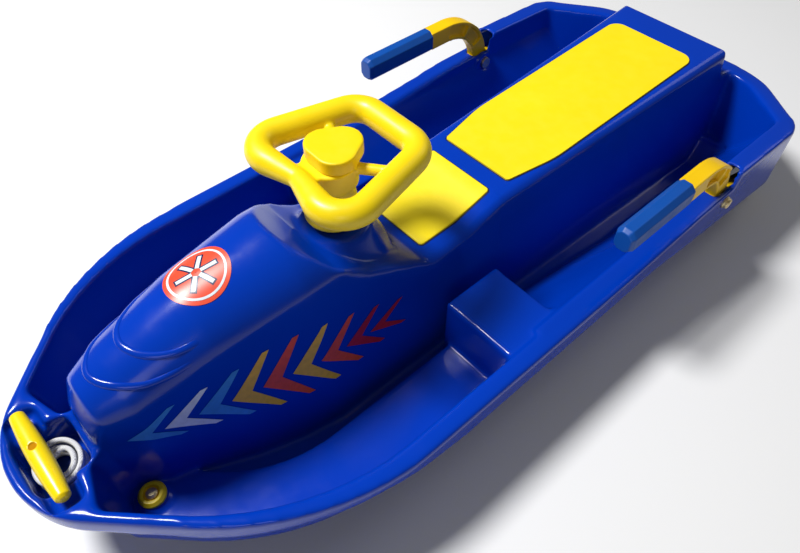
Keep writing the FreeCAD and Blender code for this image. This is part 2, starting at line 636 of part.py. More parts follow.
def biarc(start, out, end, into):
    """Two arcs that leave along one heading and arrive along another."""
    span = end - start
    both = out + into
    squeeze = 2 * (1 - out.dot(into))
    reach = (math.sqrt(span.dot(both) ** 2 + squeeze * span.dot(span)) - span.dot(both)) / squeeze
    joint = (start + end + (out - into) * reach) * 0.5
    return [arc_from(start, out, joint), arc_from(end, into * -1, joint)]


def hank_path():
    turns = (CORD_LAYERS - 1) * (TURNS_PER_LAYER + 0.5) + TURNS_PER_LAYER
    quarters = int(turns * 4)
    step = math.pi / 2
    nudge = step / 6
    places = [turn_point(index * step) for index in range(quarters + 1)]
    headings = []
    for index in range(quarters + 1):
        ahead = turn_point(min(index * step + nudge, quarters * step))
        behind = turn_point(max(index * step - nudge, 0))
        headings.append((ahead - behind).normalize())
    headings[0] = Vector(0, 1, 0)
    headings[-1] = Vector(0, -1, 0)
    first = places[0] - headings[0] * V.cord_dia
    last = places[-1] + headings[-1] * V.cord_dia
    edges = [Part.LineSegment(first, places[0]).toShape()]
    for index in range(quarters):
        edges += biarc(places[index], headings[index], places[index + 1], headings[index + 1])
    edges.append(Part.LineSegment(places[-1], last).toShape())
    return edges, first, last


def tube(edges, start, heading):
    path = Part.Wire(Part.sortEdges(edges)[0])
    circle = Part.Wire(Part.makeCircle(V.cord_dia / 2, start, heading))
    return path.makePipeShell([circle], True, False)


def least_gap(edges):
    """The least gap from the cord to itself, on points along its middle."""
    points = []
    for edge in Part.sortEdges(edges)[0]:
        points += edge.discretize(Distance=1.0)[:-1]
    skip = int(V.cord_dia * 3)
    gaps = [(points[later] - points[early]).Length for early in range(len(points))
            for later in range(early + skip, len(points))]
    return min(gaps) - V.cord_dia


def make_cord():
    edges, first, last = hank_path()
    length = sum(edge.Length for edge in edges)
    formed("tow_cord_hank", tube(edges, first, Vector(0, 1, 0)))
    print(f"hank: {length:.0f} mm of cord, least gap to itself {least_gap(edges):.2f} mm")
    bend = V.cord_bend
    floor = Vector(first.x, first.y - bend, knot_top_z())
    down = arc_from(first, Vector(0, -1, 0), first + Vector(0, -bend, -bend))
    lead = [down, Part.LineSegment(first + Vector(0, -bend, -bend), floor).toShape()]
    formed("tow_cord_lead", tube(lead, first, Vector(0, -1, 0)))
    up = arc_from(last, Vector(0, -1, 0), last + Vector(0, -bend, bend))
    seat = Vector(last.x, last.y - bend, V.handle_z - V.handle_flat)
    tail = [up, Part.LineSegment(last + Vector(0, -bend, bend), seat).toShape()]
    formed("tow_cord_tail", tube(tail, last, Vector(0, -1, 0)))


def knot_top_z():
    return V.hank_pit_z - V.wall - V.eyelet_flange


def knot_shape():
    """A stopper knot under the eyelet, flat where the cord comes in."""
    radius = V.knot_dia / 2
    sunk = math.sqrt(radius ** 2 - (V.eyelet_bore / 2 - V.gap) ** 2)
    middle = Vector(V.hank_end_x, lead_y(), knot_top_z() - V.gap - sunk)
    ball = Part.makeSphere(radius, middle)
    return ball.cut(box((-DEEP, DEEP), (middle.y - DEEP, middle.y + DEEP), (knot_top_z(), HIGH)))


def handle_shape():
    """A toggle, thick in the middle, with a flat and a cord hole's dimple."""
    ends = [(0, V.handle_end_dia / 2), (V.handle_tip, V.handle_end_dia / 2 + V.wall / 4)]
    mid = V.handle_mid_dia / 2
    half = V.handle_half
    corners = [Vector(-half, 0, 0), Vector(-half, ends[0][1] - V.wall / 2, 0),
               Vector(-half + V.handle_tip / 2, ends[1][1], 0), Vector(0, mid, 0),
               Vector(half - V.handle_tip / 2, ends[1][1], 0), Vector(half, ends[0][1] - V.wall / 2, 0),
               Vector(half, 0, 0)]
    lines = [Part.LineSegment(corners[index], corners[index + 1]).toShape() for index in (0, 1, 4, 5)]
    crown = Part.Arc(corners[2], corners[3], corners[4]).toShape()
    back = Part.LineSegment(corners[6], corners[0]).toShape()
    face = Part.Face(Part.Wire([lines[0], lines[1], crown, lines[2], lines[3], back]))
    toggle = face.revolve(Vector(0, 0, 0), ACROSS, 360)
    toggle.translate(Vector(0, V.handle_y, V.handle_z))
    low = box((-HIGH, HIGH), (V.handle_y - DEEP, V.handle_y + DEEP), (-HIGH, V.handle_z - V.handle_flat))
    spot = Vector(-V.hank_end_x, V.handle_y, V.handle_z + mid - V.dimple_depth)
    return toggle.cut(low).cut(cylinder(V.dimple_dia, spot, spot + UP * DEEP))


# Steering

def screw_places():
    radius = V.screw_circle / 2
    angles = [math.radians(45 + 90 * index) for index in range(4)]
    return [Vector(radius * math.cos(turn), V.column_y + radius * math.sin(turn), 0) for turn in angles]


def flange_low_z():
    return V.seat_disc_z - V.flange_thick


def screw_tip_z():
    return flange_low_z() + V.screw_grip


def housing_shape():
    """The flanged tube that hangs under the platform and carries both bushes."""
    column = Vector(0, V.column_y, 0)
    tube_top = V.platform_z + V.tube_stand
    body = cylinder(V.flange_dia, column + UP * flange_low_z(), column + UP * V.seat_disc_z)
    body = body.fuse(cylinder(V.tube_dia, column + UP * V.tube_low_z, column + UP * tube_top))
    body = body.cut(cylinder(V.bush_dia, column, column + UP * HIGH))
    for spot in screw_places():
        body = body.cut(cylinder(V.screw_dia, spot, spot + UP * HIGH))
    return tidy(body)


def wheel_corners():
    half = [(V.wheel_front_half, V.wheel_front_y), (V.wheel_rear_half, V.wheel_rear_y)]
    corners = [Vector(0, V.wheel_dip_y, V.wheel_z)] + [Vector(x, y, V.wheel_z) for x, y in half]
    return corners + [Vector(-x, y, V.wheel_z) for x, y in reversed(half)]


def wheel_shape():
    """A four-cornered grip tube, thinner where its front bar dips, with two spokes, a web and a hub."""
    corners = wheel_corners()
    path = rounded(corners, [V.wall] + [V.wheel_corner] * 4)
    bend = Part.Wire(path.Edges[2:9])
    ends = [path.Edges[2].firstVertex(True).Point, path.Edges[8].lastVertex(True).Point]
    circle = Part.Wire(Part.makeCircle(V.grip_tube_dia / 2, ends[0], corners[1] - corners[0]))
    grip = bend.makePipeShell([circle], True, False)
    parts = [Part.makeSphere(V.wheel_dip_dia / 2, corners[0])]
    for end in ends:
        run = end - corners[0]
        parts.append(Part.makeCone(V.wheel_dip_dia / 2, V.grip_tube_dia / 2, run.Length, corners[0], run))
    hub = Vector(0, V.column_y, V.hub_low_z)
    parts.append(cylinder(V.hub_dia, hub, Vector(0, V.column_y, V.hub_top_z)))
    middle = Vector(0, V.column_y, V.hub_top_z - V.gap - V.spoke_dia / 2)
    for side in (-1, 1):
        end = Vector(side * V.spoke_end_half, V.spoke_end_y, middle.z)
        parts.append(cylinder(V.spoke_dia, middle, end))
    low = V.wheel_z - V.spoke_dia / 2
    parts.append(box((-V.web_half, V.web_half), (V.wheel_dip_y, V.column_y), (low, V.hub_top_z)))
    solid = grip.multiFuse(parts)
    column = Vector(0, V.column_y, 0)
    return tidy(solid.cut(cylinder(V.shaft_dia + 2 * V.fit, column, column + UP * HIGH)))


def cap_shape():
    """The rounded three-cornered hub cap, its point to the rear, with a spigot in the hub."""
    radius = V.cap_radius
    turns = [math.radians(90 + 120 * index) for index in range(3)]
    points = [Vector(math.cos(turn), math.sin(turn), 0) * (radius * 1.35) for turn in turns]
    points = [point + Vector(0, V.cap_y, 0) for point in points]
    plate = prism(rounded(points, [radius * 0.55] * 3), V.hub_top_z, V.cap_top_z)
    column = Vector(0, V.column_y, 0)
    spigot = cylinder(V.cap_spigot_dia, column + UP * (V.shaft_high_z + V.gap), column + UP * V.cap_top_z)
    return tidy(plate.fuse(spigot))


def ski_shape():
    """A flat sole with a turned-up tip, a middle rib and the socket for the shaft."""
    half = V.ski_width / 2
    curl = Vector(-half, V.ski_front_y, V.ski_curl_z)
    run = V.ski_curl_y - V.ski_front_y
    low_mid = Vector(-half, V.ski_front_y + run * 0.45, V.ski_curl_z * 0.28)
    thick = Vector(0, 0, V.ski_sole)
    flat = [Vector(-half, V.ski_curl_y, 0), Vector(-half, V.ski_back_y, 0)]
    edges = [Part.Arc(curl, low_mid, flat[0]).toShape(), Part.LineSegment(*flat).toShape(),
             Part.LineSegment(flat[1], flat[1] + thick).toShape(),
             Part.LineSegment(flat[1] + thick, flat[0] + thick).toShape(),
             Part.Arc(flat[0] + thick, low_mid + thick, curl + thick).toShape(),
             Part.LineSegment(curl + thick, curl).toShape()]
    sole = Part.Face(Part.Wire(edges)).extrude(Vector(V.ski_width, 0, 0))
    column = Vector(0, V.column_y, 0)
    low = V.ski_sole / 2
    rib = side_prism([(V.ski_rib_front_y, low), (V.ski_rib_back_y, low), (V.column_y, V.ski_rib_z)],
                     V.ski_rib_width / 2)
    socket = cylinder(V.ski_hub_dia, column + UP * low, column + UP * V.ski_hub_top_z)
    solid = sole.multiFuse([rib, socket])
    seat = column + UP * (V.shaft_low_z - V.gap)
    solid = solid.cut(cylinder(V.shaft_dia + 2 * V.fit, seat, column + UP * HIGH))
    ends = [Vector(side * V.half_width, V.column_y, V.ski_bolt_z) for side in (-1, 1)]
    return tidy(solid.cut(cylinder(V.ski_bolt_dia + 2 * V.fit, *ends)))


def shaft_shape():
    column = Vector(0, V.column_y, 0)
    solid = cylinder(V.shaft_dia, column + UP * V.shaft_low_z, column + UP * V.shaft_high_z)
    for height, diameter in ((V.ski_bolt_z, V.ski_bolt_dia), (V.cross_pin_z, V.cross_pin_dia)):
        ends = [Vector(side * V.half_width, V.column_y, height) for side in (-1, 1)]
        solid = solid.cut(cylinder(diameter + 2 * V.fit, *ends))
    return solid


def boss_shape():
    """The bell between the wheel's hub and the platform."""
    low = boss_low_z()
    outline_rz = [(0, low), (V.boss_foot_dia / 2, low), (V.boss_foot_dia / 2, low + V.wall),
                  (V.boss_waist_dia / 2, V.boss_waist_z), (V.boss_top_dia / 2, V.hub_low_z),
                  (0, V.hub_low_z)]
    wire = Part.makePolygon([Vector(radius, 0, z) for radius, z in outline_rz + outline_rz[:1]])
    bell = Part.Face(wire).revolve(Vector(0, 0, 0), UP, 360)
    bell.translate(Vector(0, V.column_y, 0))
    column = Vector(0, V.column_y, 0)
    bell = bell.cut(cylinder(V.shaft_dia + 2 * V.fit, column, column + UP * HIGH))
    ends = [Vector(side * V.half_width, V.column_y, V.cross_pin_z) for side in (-1, 1)]
    return bell.cut(cylinder(V.cross_pin_dia + 2 * V.fit, *ends))


def boss_low_z():
    return V.platform_z + V.tube_stand + V.bush_flange + V.gap


def make_steering():
    column = [ZERO, D.column_y]
    formed("column_housing", housing_shape())
    bore = D.shaft_dia + D.fit * 2
    tube_top = D.platform_z + D.tube_stand
    flange = D.bush_flange
    outline_rz = [(bore / 2, ZERO), (D.bush_flange_dia / 2, ZERO), (D.bush_flange_dia / 2, flange),
                  (D.bush_dia / 2, flange), (D.bush_dia / 2, flange + D.bush_length),
                  (bore / 2, flange + D.bush_length)]
    keep(turned("lower_bush", outline_rz, column + [D.tube_low_z - flange]), "lower_bush")
    flipped = [(radius, flange + D.bush_length - height) for radius, height in outline_rz]
    keep(turned("upper_bush", flipped, column + [tube_top - D.bush_length]), "upper_bush")
    head_z = D.seat_disc_z - D.flange_thick - D.screw_head
    offset = D.screw_circle / math.sqrt(8)
    corners = [(offset, offset), (-offset, offset), (-offset, -offset), (offset, -offset)]
    screws = [headed(f"housing_screw_{index}", D.screw_dia, D.screw_grip, D.screw_head_dia, D.screw_head,
                     [x, D.column_y + y, head_z]) for index, (x, y) in enumerate(corners)]
    group("housing_screws", screws)
    formed("steering_wheel", wheel_shape())
    formed("wheel_hub_cap", cap_shape())
    formed("steering_boss", boss_shape())
    formed("steering_shaft", shaft_shape())
    formed("steering_ski", ski_shape())
    collar_z = D.tube_low_z - flange - D.gap - D.collar_height
    collar = ring("shaft_collar", bore, D.collar_dia, D.collar_height, column + [collar_z])
    keep(collar, "shaft_collar")
    half = D.boss_top_dia / 2
    pin = [(ZERO, ZERO), (D.cross_pin_dia / 2, ZERO), (D.cross_pin_dia / 2, half * 2), (ZERO, half * 2)]
    keep(turned("wheel_cross_pin", pin, [-half, D.column_y, D.cross_pin_z], "X"), "wheel_cross_pin")
    bolt_x = D.ski_hub_dia / 2
    shank = D.ski_hub_dia + D.nut_height + D.gap
    keep(headed("ski_bolt", D.ski_bolt_dia, shank, D.nut_across, D.rod_bolt_head,
                [-bolt_x - D.rod_bolt_head, D.column_y, D.ski_bolt_z], "X"), "ski_bolt")
    keep(nut("ski_nut", D.nut_across, D.nut_height, D.ski_bolt_dia + D.fit * 2,
             [bolt_x, D.column_y, D.ski_bolt_z], "X"), "ski_nut")


# Runner rods

def rod_points():
    low = V.rod_dia / 2 - V.rod_flat
    slope = math.radians(V.keel_stern_angle)
    bend_y = V.keel_stern_y + V.rod_stern_radius * math.tan(slope / 2)
    return [Vector(V.rod_front_x, V.rod_front_y, V.eye_z),
            Vector(V.rod_x, V.keel_bow_y - V.rod_bow_lead, low), Vector(V.rod_x, bend_y, low),
            Vector(V.rod_x, bend_y + V.rod_stern_run, low + V.rod_stern_run * math.tan(slope))]


def rod_end(past):
    """A point on the rod's rear run, measured past its end."""
    bend, end = rod_points()[2:]
    return end + (end - bend).normalize() * past


def rod_shape():
    """A steel rod bent in at the bow to a flat eye and up at the stern into its socket."""
    points = rod_points()
    edges = []
    start = points[0]
    bends = ((points[1], points[2], V.rod_bow_radius), (points[2], points[3], V.rod_stern_radius))
    for here, after, radius in bends:
        back = (start - here).normalize()
        on = (after - here).normalize()
        half = back.getAngle(on) / 2
        reach = radius / math.tan(half)
        middle = here + (back + on).normalize() * (radius / math.sin(half) - radius)
        if (here + back * reach - start).Length > V.gap:
            edges.append(Part.LineSegment(start, here + back * reach).toShape())
        edges.append(Part.Arc(here + back * reach, middle, here + on * reach).toShape())
        start = here + on * reach
    edges.append(Part.LineSegment(start, points[3]).toShape())
    circle = Part.Wire(Part.makeCircle(V.rod_dia / 2, points[0], points[1] - points[0]))
    rod = Part.Wire(edges).makePipeShell([circle], True, False)
    eye = Vector(points[0].x, points[0].y, V.eye_z - V.eye_thick / 2)
    rod = rod.fuse(cylinder(V.eye_dia, eye, eye + UP * V.eye_thick))
    trims = [box((-HIGH, HIGH), (-HIGH * 2, HIGH * 2), (-DEEP, 0)),
             box((-HIGH, HIGH), (-HIGH * 2, V.rod_front_y + V.eye_dia), (eye.z + V.eye_thick, HIGH)),
             box((-HIGH, HIGH), (-HIGH * 2, V.rod_front_y + V.eye_dia / 2), (-DEEP, eye.z)),
             cylinder(V.rod_bolt_dia + 2 * V.fit, eye - UP * DEEP, eye + UP * HIGH)]
    for trim in trims:
        rod = rod.cut(trim)
    return tidy(rod)


def make_rods():
    left, right = both_sides(rod_shape())
    formed("runner_rod_left", left)
    formed("runner_rod_right", right)
    cups, bolts, nuts = [], [], []
    bowl = D.cup_bowl_dia / 2
    hole = D.rod_bolt_dia / 2 + D.fit
    edge = D.cup_dia / 2
    cup = [(hole, ZERO), (edge, ZERO), (edge, D.cup_rim), (edge - D.cup_rim, D.cup_height),
           (bowl, D.cup_height), (bowl, D.cup_rim), (hole, D.cup_rim)]
    head = D.rod_bolt_head_dia / 2
    shank = D.rod_bolt_dia / 2
    length = D.anchor_top_z + D.cup_rim - D.eye_z + D.eye_thick / 2 + D.nut_height
    bolt = [(ZERO, ZERO), (shank, ZERO), (shank, length), (head, length),
            (head, length + D.rod_bolt_head * 0.6), (head * 0.6, length + D.rod_bolt_head),
            (ZERO, length + D.rod_bolt_head)]
    nut_z = D.eye_z - D.eye_thick / 2 - D.nut_height
    for name, x in (("left", D.rod_front_x), ("right", -D.rod_front_x)):
        cups.append(turned(f"cup_{name}", cup, [x, D.rod_front_y, D.anchor_top_z]))
        bolts.append(turned(f"rod_bolt_{name}", bolt, [x, D.rod_front_y, nut_z]))
        nuts.append(nut(f"rod_nut_{name}", D.nut_across, D.nut_height, D.rod_bolt_dia + D.fit * 2,
                        [x, D.rod_front_y, nut_z]))
    group("runner_cup_washers", cups)
    group("runner_bolts", bolts)
    group("runner_nuts", nuts)


# Brake levers

def sector(inner, outer, low, high, x_range):
    """A slice of a ring about the lever's arc centre, between two angles from the horizontal."""
    middle = Vector(x_range[0], V.arc_y, V.arc_z)
    ends = [math.radians(low), math.radians((low + high) / 2), math.radians(high)]
    spokes = [Vector(0, math.cos(turn), math.sin(turn)) for turn in ends]
    rims = [[middle + spoke * radius for spoke in spokes] for radius in (inner, outer)]
    edges = [Part.Arc(*rims[0]).toShape(), Part.LineSegment(rims[0][2], rims[1][2]).toShape(),
             Part.Arc(*rims[1]).toShape(), Part.LineSegment(rims[1][0], rims[0][0]).toShape()]
    wire = Part.Wire(Part.sortEdges(edges)[0])
    return Part.Face(wire).extrude(Vector(x_range[1] - x_range[0], 0, 0))


def tail_polygon(margin, start, end):
    """The rear bar, from the pivot to the claw, as (y, z) corners."""
    wide = V.lever_hub_dia / 2 - V.wall - margin
    thin = V.tail_depth / 2 - margin
    span = Vector(0, V.tail_y - V.pivot_y, V.tail_z - V.pivot_z)
    side = Vector(0, -span.z, span.y).normalize()
    places = []
    for share, half in ((start, wide), (end, thin)):
        middle = Vector(0, V.pivot_y, V.pivot_z) + span * share
        places += [middle + side * half, middle - side * half]
    return [(point.y, point.z) for point in (places[0], places[1], places[3], places[2])]


def lever_slab(points, x_range):
    solid = side_prism(points, (x_range[1] - x_range[0]) / 2)
    solid.translate(Vector((x_range[0] + x_range[1]) / 2, 0, 0))
    return solid


def lever_span(thick):
    return (V.lever_x - thick / 2, V.lever_x + thick / 2)


def lever_shape():
    """Grip core, ribbed arc, pivot hub and rear bar in one moulding."""
    whole = lever_span(V.lever_thick)
    half = V.lever_depth / 2
    arc_top = V.arc_z + V.arc_radius
    core = box(lever_span(V.core_thick), (V.grip_front_y + V.grip_end, V.grip_back_y),
               (arc_top - V.core_height / 2, arc_top + V.core_height / 2))
    neck = box(whole, (V.grip_back_y, V.arc_y), (arc_top - half, arc_top + half))
    arc = sector(V.arc_radius - half, V.arc_radius + half, 0, 90, whole)
    hub = cylinder(V.lever_hub_dia, pivot(whole[0]), pivot(whole[1]))
    tail = lever_slab(tail_polygon(0, 0, 1), whole)
    lever = core.multiFuse([neck, arc, hub, tail])
    edge = V.web_edge
    middle = (V.web_start + V.web_end) / 2
    radii = (V.arc_radius - half + edge, V.arc_radius + half - edge)
    for x_range in ((whole[0], whole[0] + V.web_depth), (whole[1] - V.web_depth, whole[1])):
        for low, high in ((V.web_start, middle - V.web_rib / 2), (middle + V.web_rib / 2, V.web_end)):
            lever = lever.cut(sector(radii[0], radii[1], low, high, x_range))
        for start, end in ((0.2, 0.42), (0.46, 0.68)):
            lever = lever.cut(lever_slab(tail_polygon(edge, start, end), x_range))
    lever = lever.cut(cylinder(V.sleeve_dia + 2 * V.fit, pivot(0), pivot(V.half_width + DEEP)))
    fork = lever_span(V.claw_thick + 2 * V.fit)
    lever = lever.cut(lever_slab(claw_points(V.fit), fork))
    for y, z in rivet_places():
        lever = lever.cut(rivet_hole(y, z))
    return tidy(lever)


def tail_line_z(y):
    return V.pivot_z + (V.tail_z - V.pivot_z) * (y - V.pivot_y) / (V.tail_y - V.pivot_y)


def rivet_places():
    return [(y, tail_line_z(y)) for y in (V.rivet_front_y, V.rivet_back_y)]


def rivet_hole(y, z):
    return cylinder(V.rivet_dia + 2 * V.fit, Vector(0, y, z), Vector(V.half_width + DEEP, y, z))


def claw_points(margin):
    """The claw plate: a root in the fork, a knee and a pointed tip."""
    half = V.claw_width / 2 + margin
    root = V.claw_root_y - margin
    return [(root, tail_line_z(root) - half), (V.claw_knee_y - half, V.claw_knee_z - half),
            (V.claw_tip_y - half, V.claw_tip_z), (V.claw_tip_y, V.claw_tip_z),
            (V.claw_knee_y + half, V.claw_knee_z),
            (V.tail_y, tail_line_z(V.tail_y) + half), (root, tail_line_z(root) + half)]


def claw_shape():
    claw = lever_slab(claw_points(0), lever_span(V.claw_thick))
    for y, z in rivet_places():
        claw = claw.cut(rivet_hole(y, z))
    return claw


def grip_shape():
    """The sleeve over the lever's core: a block with broad chamfers, closed at its front end."""
    wide = V.grip_wide / 2
    high = V.grip_height / 2
    cut = V.grip_chamfer
    ring_xz = [(wide - cut, -high), (wide, cut - high), (wide, high - cut), (wide - cut, high)]
    ring_xz += [(-x, z) for x, z in reversed(ring_xz)]
    middle = Vector(V.lever_x, 0, V.arc_z + V.arc_radius)
    sections = []
    for y, share in ((V.grip_front_y, 0.8), (V.grip_front_y + V.grip_end, 1), (V.grip_back_y, 1)):
        points = [middle + Vector(x * share, y, z * share) for x, z in ring_xz]
        sections.append(Part.makePolygon(points + points[:1]))
    body = Part.makeLoft(sections, True, True)
    core = box(lever_span(V.core_thick + 2 * V.fit), (V.grip_front_y + V.grip_end - V.fit, V.arc_y),
               (middle.z - V.core_height / 2 - V.fit, middle.z + V.core_height / 2 + V.fit))
    return body.cut(core)


def make_brakes():
    shapes = {"brake_lever": lever_shape(), "brake_grip": grip_shape(), "brake_claw": claw_shape()}
    for name, shape in shapes.items():
        left, right = both_sides(shape)
        formed(f"{name}_left", left)
        formed(f"{name}_right", right)
    head = D.rivet_head_dia / 2
    shank = D.rivet_dia / 2
    rivet_low = D.rivet_head
    rivet_high = rivet_low + D.lever_thick
    rivet = [(ZERO, ZERO), (head * 0.6, ZERO), (head, rivet_low), (shank, rivet_low), (shank, rivet_high),
             (head, rivet_high), (head * 0.6, rivet_high + D.rivet_head), (ZERO, rivet_high + D.rivet_head)]
    slant = (D.tail_z - D.pivot_z) / (D.tail_y - D.pivot_y)
    foot_x = D.lever_thick / 2 + D.rivet_head
    for side, x in (("left", D.lever_x - foot_x), ("right", -D.lever_x - foot_x)):
        pieces = []
        for index, y in enumerate((D.rivet_front_y, D.rivet_back_y)):
            spot = [x, y, D.pivot_z + slant * (y - D.pivot_y)]
            pieces.append(turned(f"claw_rivet_{side}_{index}", rivet, spot, "X"))
        group(f"claw_rivets_{side}", pieces)
    bolts, nuts, sleeves, spacers = [], [], [], []
    grip = D.half_width + D.brake_nut_height - D.brake_seat_x
    inner = D.half_width - D.wall
    spacer_x = D.lever_x + D.lever_thick / 2 + D.slot_gap / 3
    bore = D.brake_bolt_dia + D.fit * 2
    for name, axis, sign in (("left", "X", 1), ("right", "-X", -1)):
        def at(x):
            return [x * sign, D.pivot_y, D.pivot_z]
        bolts.append(headed(f"brake_bolt_{name}", D.brake_bolt_dia, grip, D.brake_head_dia, D.brake_head,
                            at(D.brake_seat_x - D.brake_head), axis))
        nuts.append(nut(f"brake_nut_{name}", D.brake_nut_across, D.brake_nut_height, bore,
                        at(D.half_width), axis))
        sleeves.append(ring(f"brake_sleeve_{name}", bore, D.sleeve_dia, inner - D.brake_boss_x,
                            at(D.brake_boss_x), axis))
        spacers.append(ring(f"brake_spacer_{name}", D.sleeve_dia + D.fit * 2, D.spacer_dia,
                            inner - spacer_x, at(spacer_x), axis))
    group("brake_bolts", bolts)
    group("brake_nuts", nuts)
    group("brake_sleeves", sleeves)
    group("brake_spacers", spacers)


def make_eyelet():
    flange = D.eyelet_flange
    bore = D.eyelet_bore / 2
    top = flange + D.wall
    outline_rz = [(bore, ZERO), (D.eyelet_flange_dia / 2, ZERO), (D.eyelet_flange_dia / 2, flange),
                  (D.eyelet_dia / 2, flange), (D.eyelet_dia / 2, top), (bore, top)]
    at = [D.hank_end_x, D.hank_y - D.cord_dia - D.cord_bend, D.hank_pit_z - D.wall - flange]
    keep(turned("cord_eyelet", outline_rz, at), "cord_eyelet")


def check_and_write():
    doc.recompute()
    faults = [f"{thing.Name}: {thing.State}" for thing in doc.Objects
              if "Invalid" in thing.State or "Error" in thing.State]
    for node in NODES:
        shape = node.Shape
        if shape.isNull() or not shape.isValid() or not shape.Solids:
            faults.append(f"{node.Label}: no valid solid")
    if faults:
        raise RuntimeError("; ".join(faults))
    os.makedirs("parts", exist_ok=True)
    for node in NODES:
        node.Shape.exportStep(f"parts/{node.Label}.step")
        print(f"{node.Label}: {len(node.Shape.Solids)} solid, {node.Shape.Volume / 1000:.1f} cm3")


formed("hull", hull_shape())
for pad_name, (half_outline, corner_radii) in zip(("seat_pad_front", "seat_pad_rear"), pads()):
    formed(pad_name, pad_block(half_outline, corner_radii, 0, -V.pad_recess, V.pad_proud))
make_cord()
formed("tow_cord_knot", knot_shape())
make_eyelet()
formed("pull_handle", handle_shape())
make_steering()
make_rods()
make_brakes()
check_and_write()
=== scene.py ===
import json
import math

import bmesh
import bpy
from mathutils import Matrix, Vector
from mathutils.bvhtree import BVHTree


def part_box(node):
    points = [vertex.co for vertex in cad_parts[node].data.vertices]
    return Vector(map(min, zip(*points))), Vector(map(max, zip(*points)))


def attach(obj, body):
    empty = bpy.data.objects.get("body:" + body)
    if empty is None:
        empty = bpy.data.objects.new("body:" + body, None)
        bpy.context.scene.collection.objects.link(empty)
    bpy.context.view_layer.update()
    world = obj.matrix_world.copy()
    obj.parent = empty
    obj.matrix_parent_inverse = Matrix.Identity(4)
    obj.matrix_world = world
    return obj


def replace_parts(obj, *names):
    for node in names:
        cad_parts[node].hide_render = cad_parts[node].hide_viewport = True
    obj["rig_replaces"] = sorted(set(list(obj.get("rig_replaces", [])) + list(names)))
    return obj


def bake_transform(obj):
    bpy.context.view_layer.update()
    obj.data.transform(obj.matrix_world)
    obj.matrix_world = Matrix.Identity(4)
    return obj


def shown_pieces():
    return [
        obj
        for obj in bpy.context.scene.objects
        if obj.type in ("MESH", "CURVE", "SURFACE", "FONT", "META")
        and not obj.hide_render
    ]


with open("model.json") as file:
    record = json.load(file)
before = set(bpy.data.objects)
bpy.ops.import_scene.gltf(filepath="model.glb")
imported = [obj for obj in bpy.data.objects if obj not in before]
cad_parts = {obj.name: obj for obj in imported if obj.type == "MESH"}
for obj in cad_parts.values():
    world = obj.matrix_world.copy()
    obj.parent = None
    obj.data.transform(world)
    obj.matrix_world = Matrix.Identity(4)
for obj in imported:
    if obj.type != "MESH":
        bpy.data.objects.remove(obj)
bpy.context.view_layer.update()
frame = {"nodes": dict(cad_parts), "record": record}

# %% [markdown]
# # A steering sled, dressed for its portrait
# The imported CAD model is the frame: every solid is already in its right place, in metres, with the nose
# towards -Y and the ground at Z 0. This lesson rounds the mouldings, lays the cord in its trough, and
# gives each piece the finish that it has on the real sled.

scene = bpy.context.scene
scene.view_settings.view_transform = "Standard"

# %% [markdown]
# ## The camera
# The photograph looks down on the nose from the rider's front left. A camera could be set by eye. This
# one's place and aim were worked out from the sled's own left-right symmetry, so that a point of the
# model falls on the same pixel as in the photograph.

# %% Camera
CAMERA_PLACE = Vector((0.3674, -0.3839, 0.6361))
CAMERA_BACK = Vector((0.4742, -0.4226, 0.7723))
camera_data = bpy.data.cameras.new("camera")
camera_data.lens = 29.72
camera_data.sensor_width = 36.0
camera_data.clip_start = 0.01
camera = bpy.data.objects.new("camera", camera_data)
camera.location = CAMERA_PLACE
camera.rotation_euler = (-CAMERA_BACK).to_track_quat("-Z", "Y").to_euler()
scene.collection.objects.link(camera)
scene.camera = camera
print("camera at", tuple(round(value, 3) for value in camera.location))

# %% [markdown]
# ## The tow cord
# A white cord lies wound in a pit in the nose, under the toggle. Separate rings would be quicker to make,
# but a cord has two ends. So it is one smooth NURBS curve: up through the eyelet, then loops that spiral
# out, climb a layer and spiral in again, four layers high.

# %% Cord route
CORD_DIAMETER = 0.0045
CORD_PITCH = 0.0060
PIT_FLOOR = 0.0863
HANK_FLOOR = PIT_FLOOR + CORD_DIAMETER / 2
HANK_MIDDLE_Y = -0.444
HANK_HALF_WIDE, HANK_HALF_LONG = 0.0140, 0.0110
HANK_END_X, END_TURN = 0.0055, 0.25
LAYERS, LAYER_TURNS, CLIMB = 4, 1.5, 0.5
LAST_TURN = (LAYERS - 1) * (LAYER_TURNS + CLIMB) + LAYER_TURNS
TURN_POINTS = 16


def ease(part):
    """A slow start and a slow end between 0 and 1."""
    return part * part * (3 - 2 * part)


def hank_place(turns):
    """A point on the hank after that many turns. Its first and last quarter turns are drawn in."""
    layer = min(int(turns / (LAYER_TURNS + CLIMB)), LAYERS - 1)
    along = turns - layer * (LAYER_TURNS + CLIMB)
    spread = min(along, LAYER_TURNS)
    if layer % 2:
        spread = LAYER_TURNS - spread
    height = HANK_FLOOR + (layer + ease(max(along - LAYER_TURNS, 0) / CLIMB)) * CORD_PITCH
    drawn = max(0, 1 - min(turns, LAST_TURN - turns) / END_TURN) * (HANK_HALF_WIDE - HANK_END_X)
    wide = HANK_HALF_WIDE + spread * CORD_PITCH - drawn
    long = HANK_HALF_LONG + spread * CORD_PITCH
    angle = turns * 2 * math.pi
    return Vector((wide * math.cos(angle), HANK_MIDDLE_Y + long * math.sin(angle), height))


EYELET_Y, EYELET_HEIGHTS, LEAD_SHIFT = -0.4535, (0.0805, 0.0835), 0.0008
route = [Vector((HANK_END_X, EYELET_Y, height)) for height in EYELET_HEIGHTS]
route.append(Vector((HANK_END_X, EYELET_Y + LEAD_SHIFT, HANK_FLOOR)))
route += [hank_place(step / TURN_POINTS) for step in range(int(LAST_TURN * TURN_POINTS) + 1)]
route.append(route[-1] + Vector((0, -CORD_DIAMETER, 0)))
print("cord route:", len(route), "points, ends at", tuple(round(v, 4) for v in route[-1]))

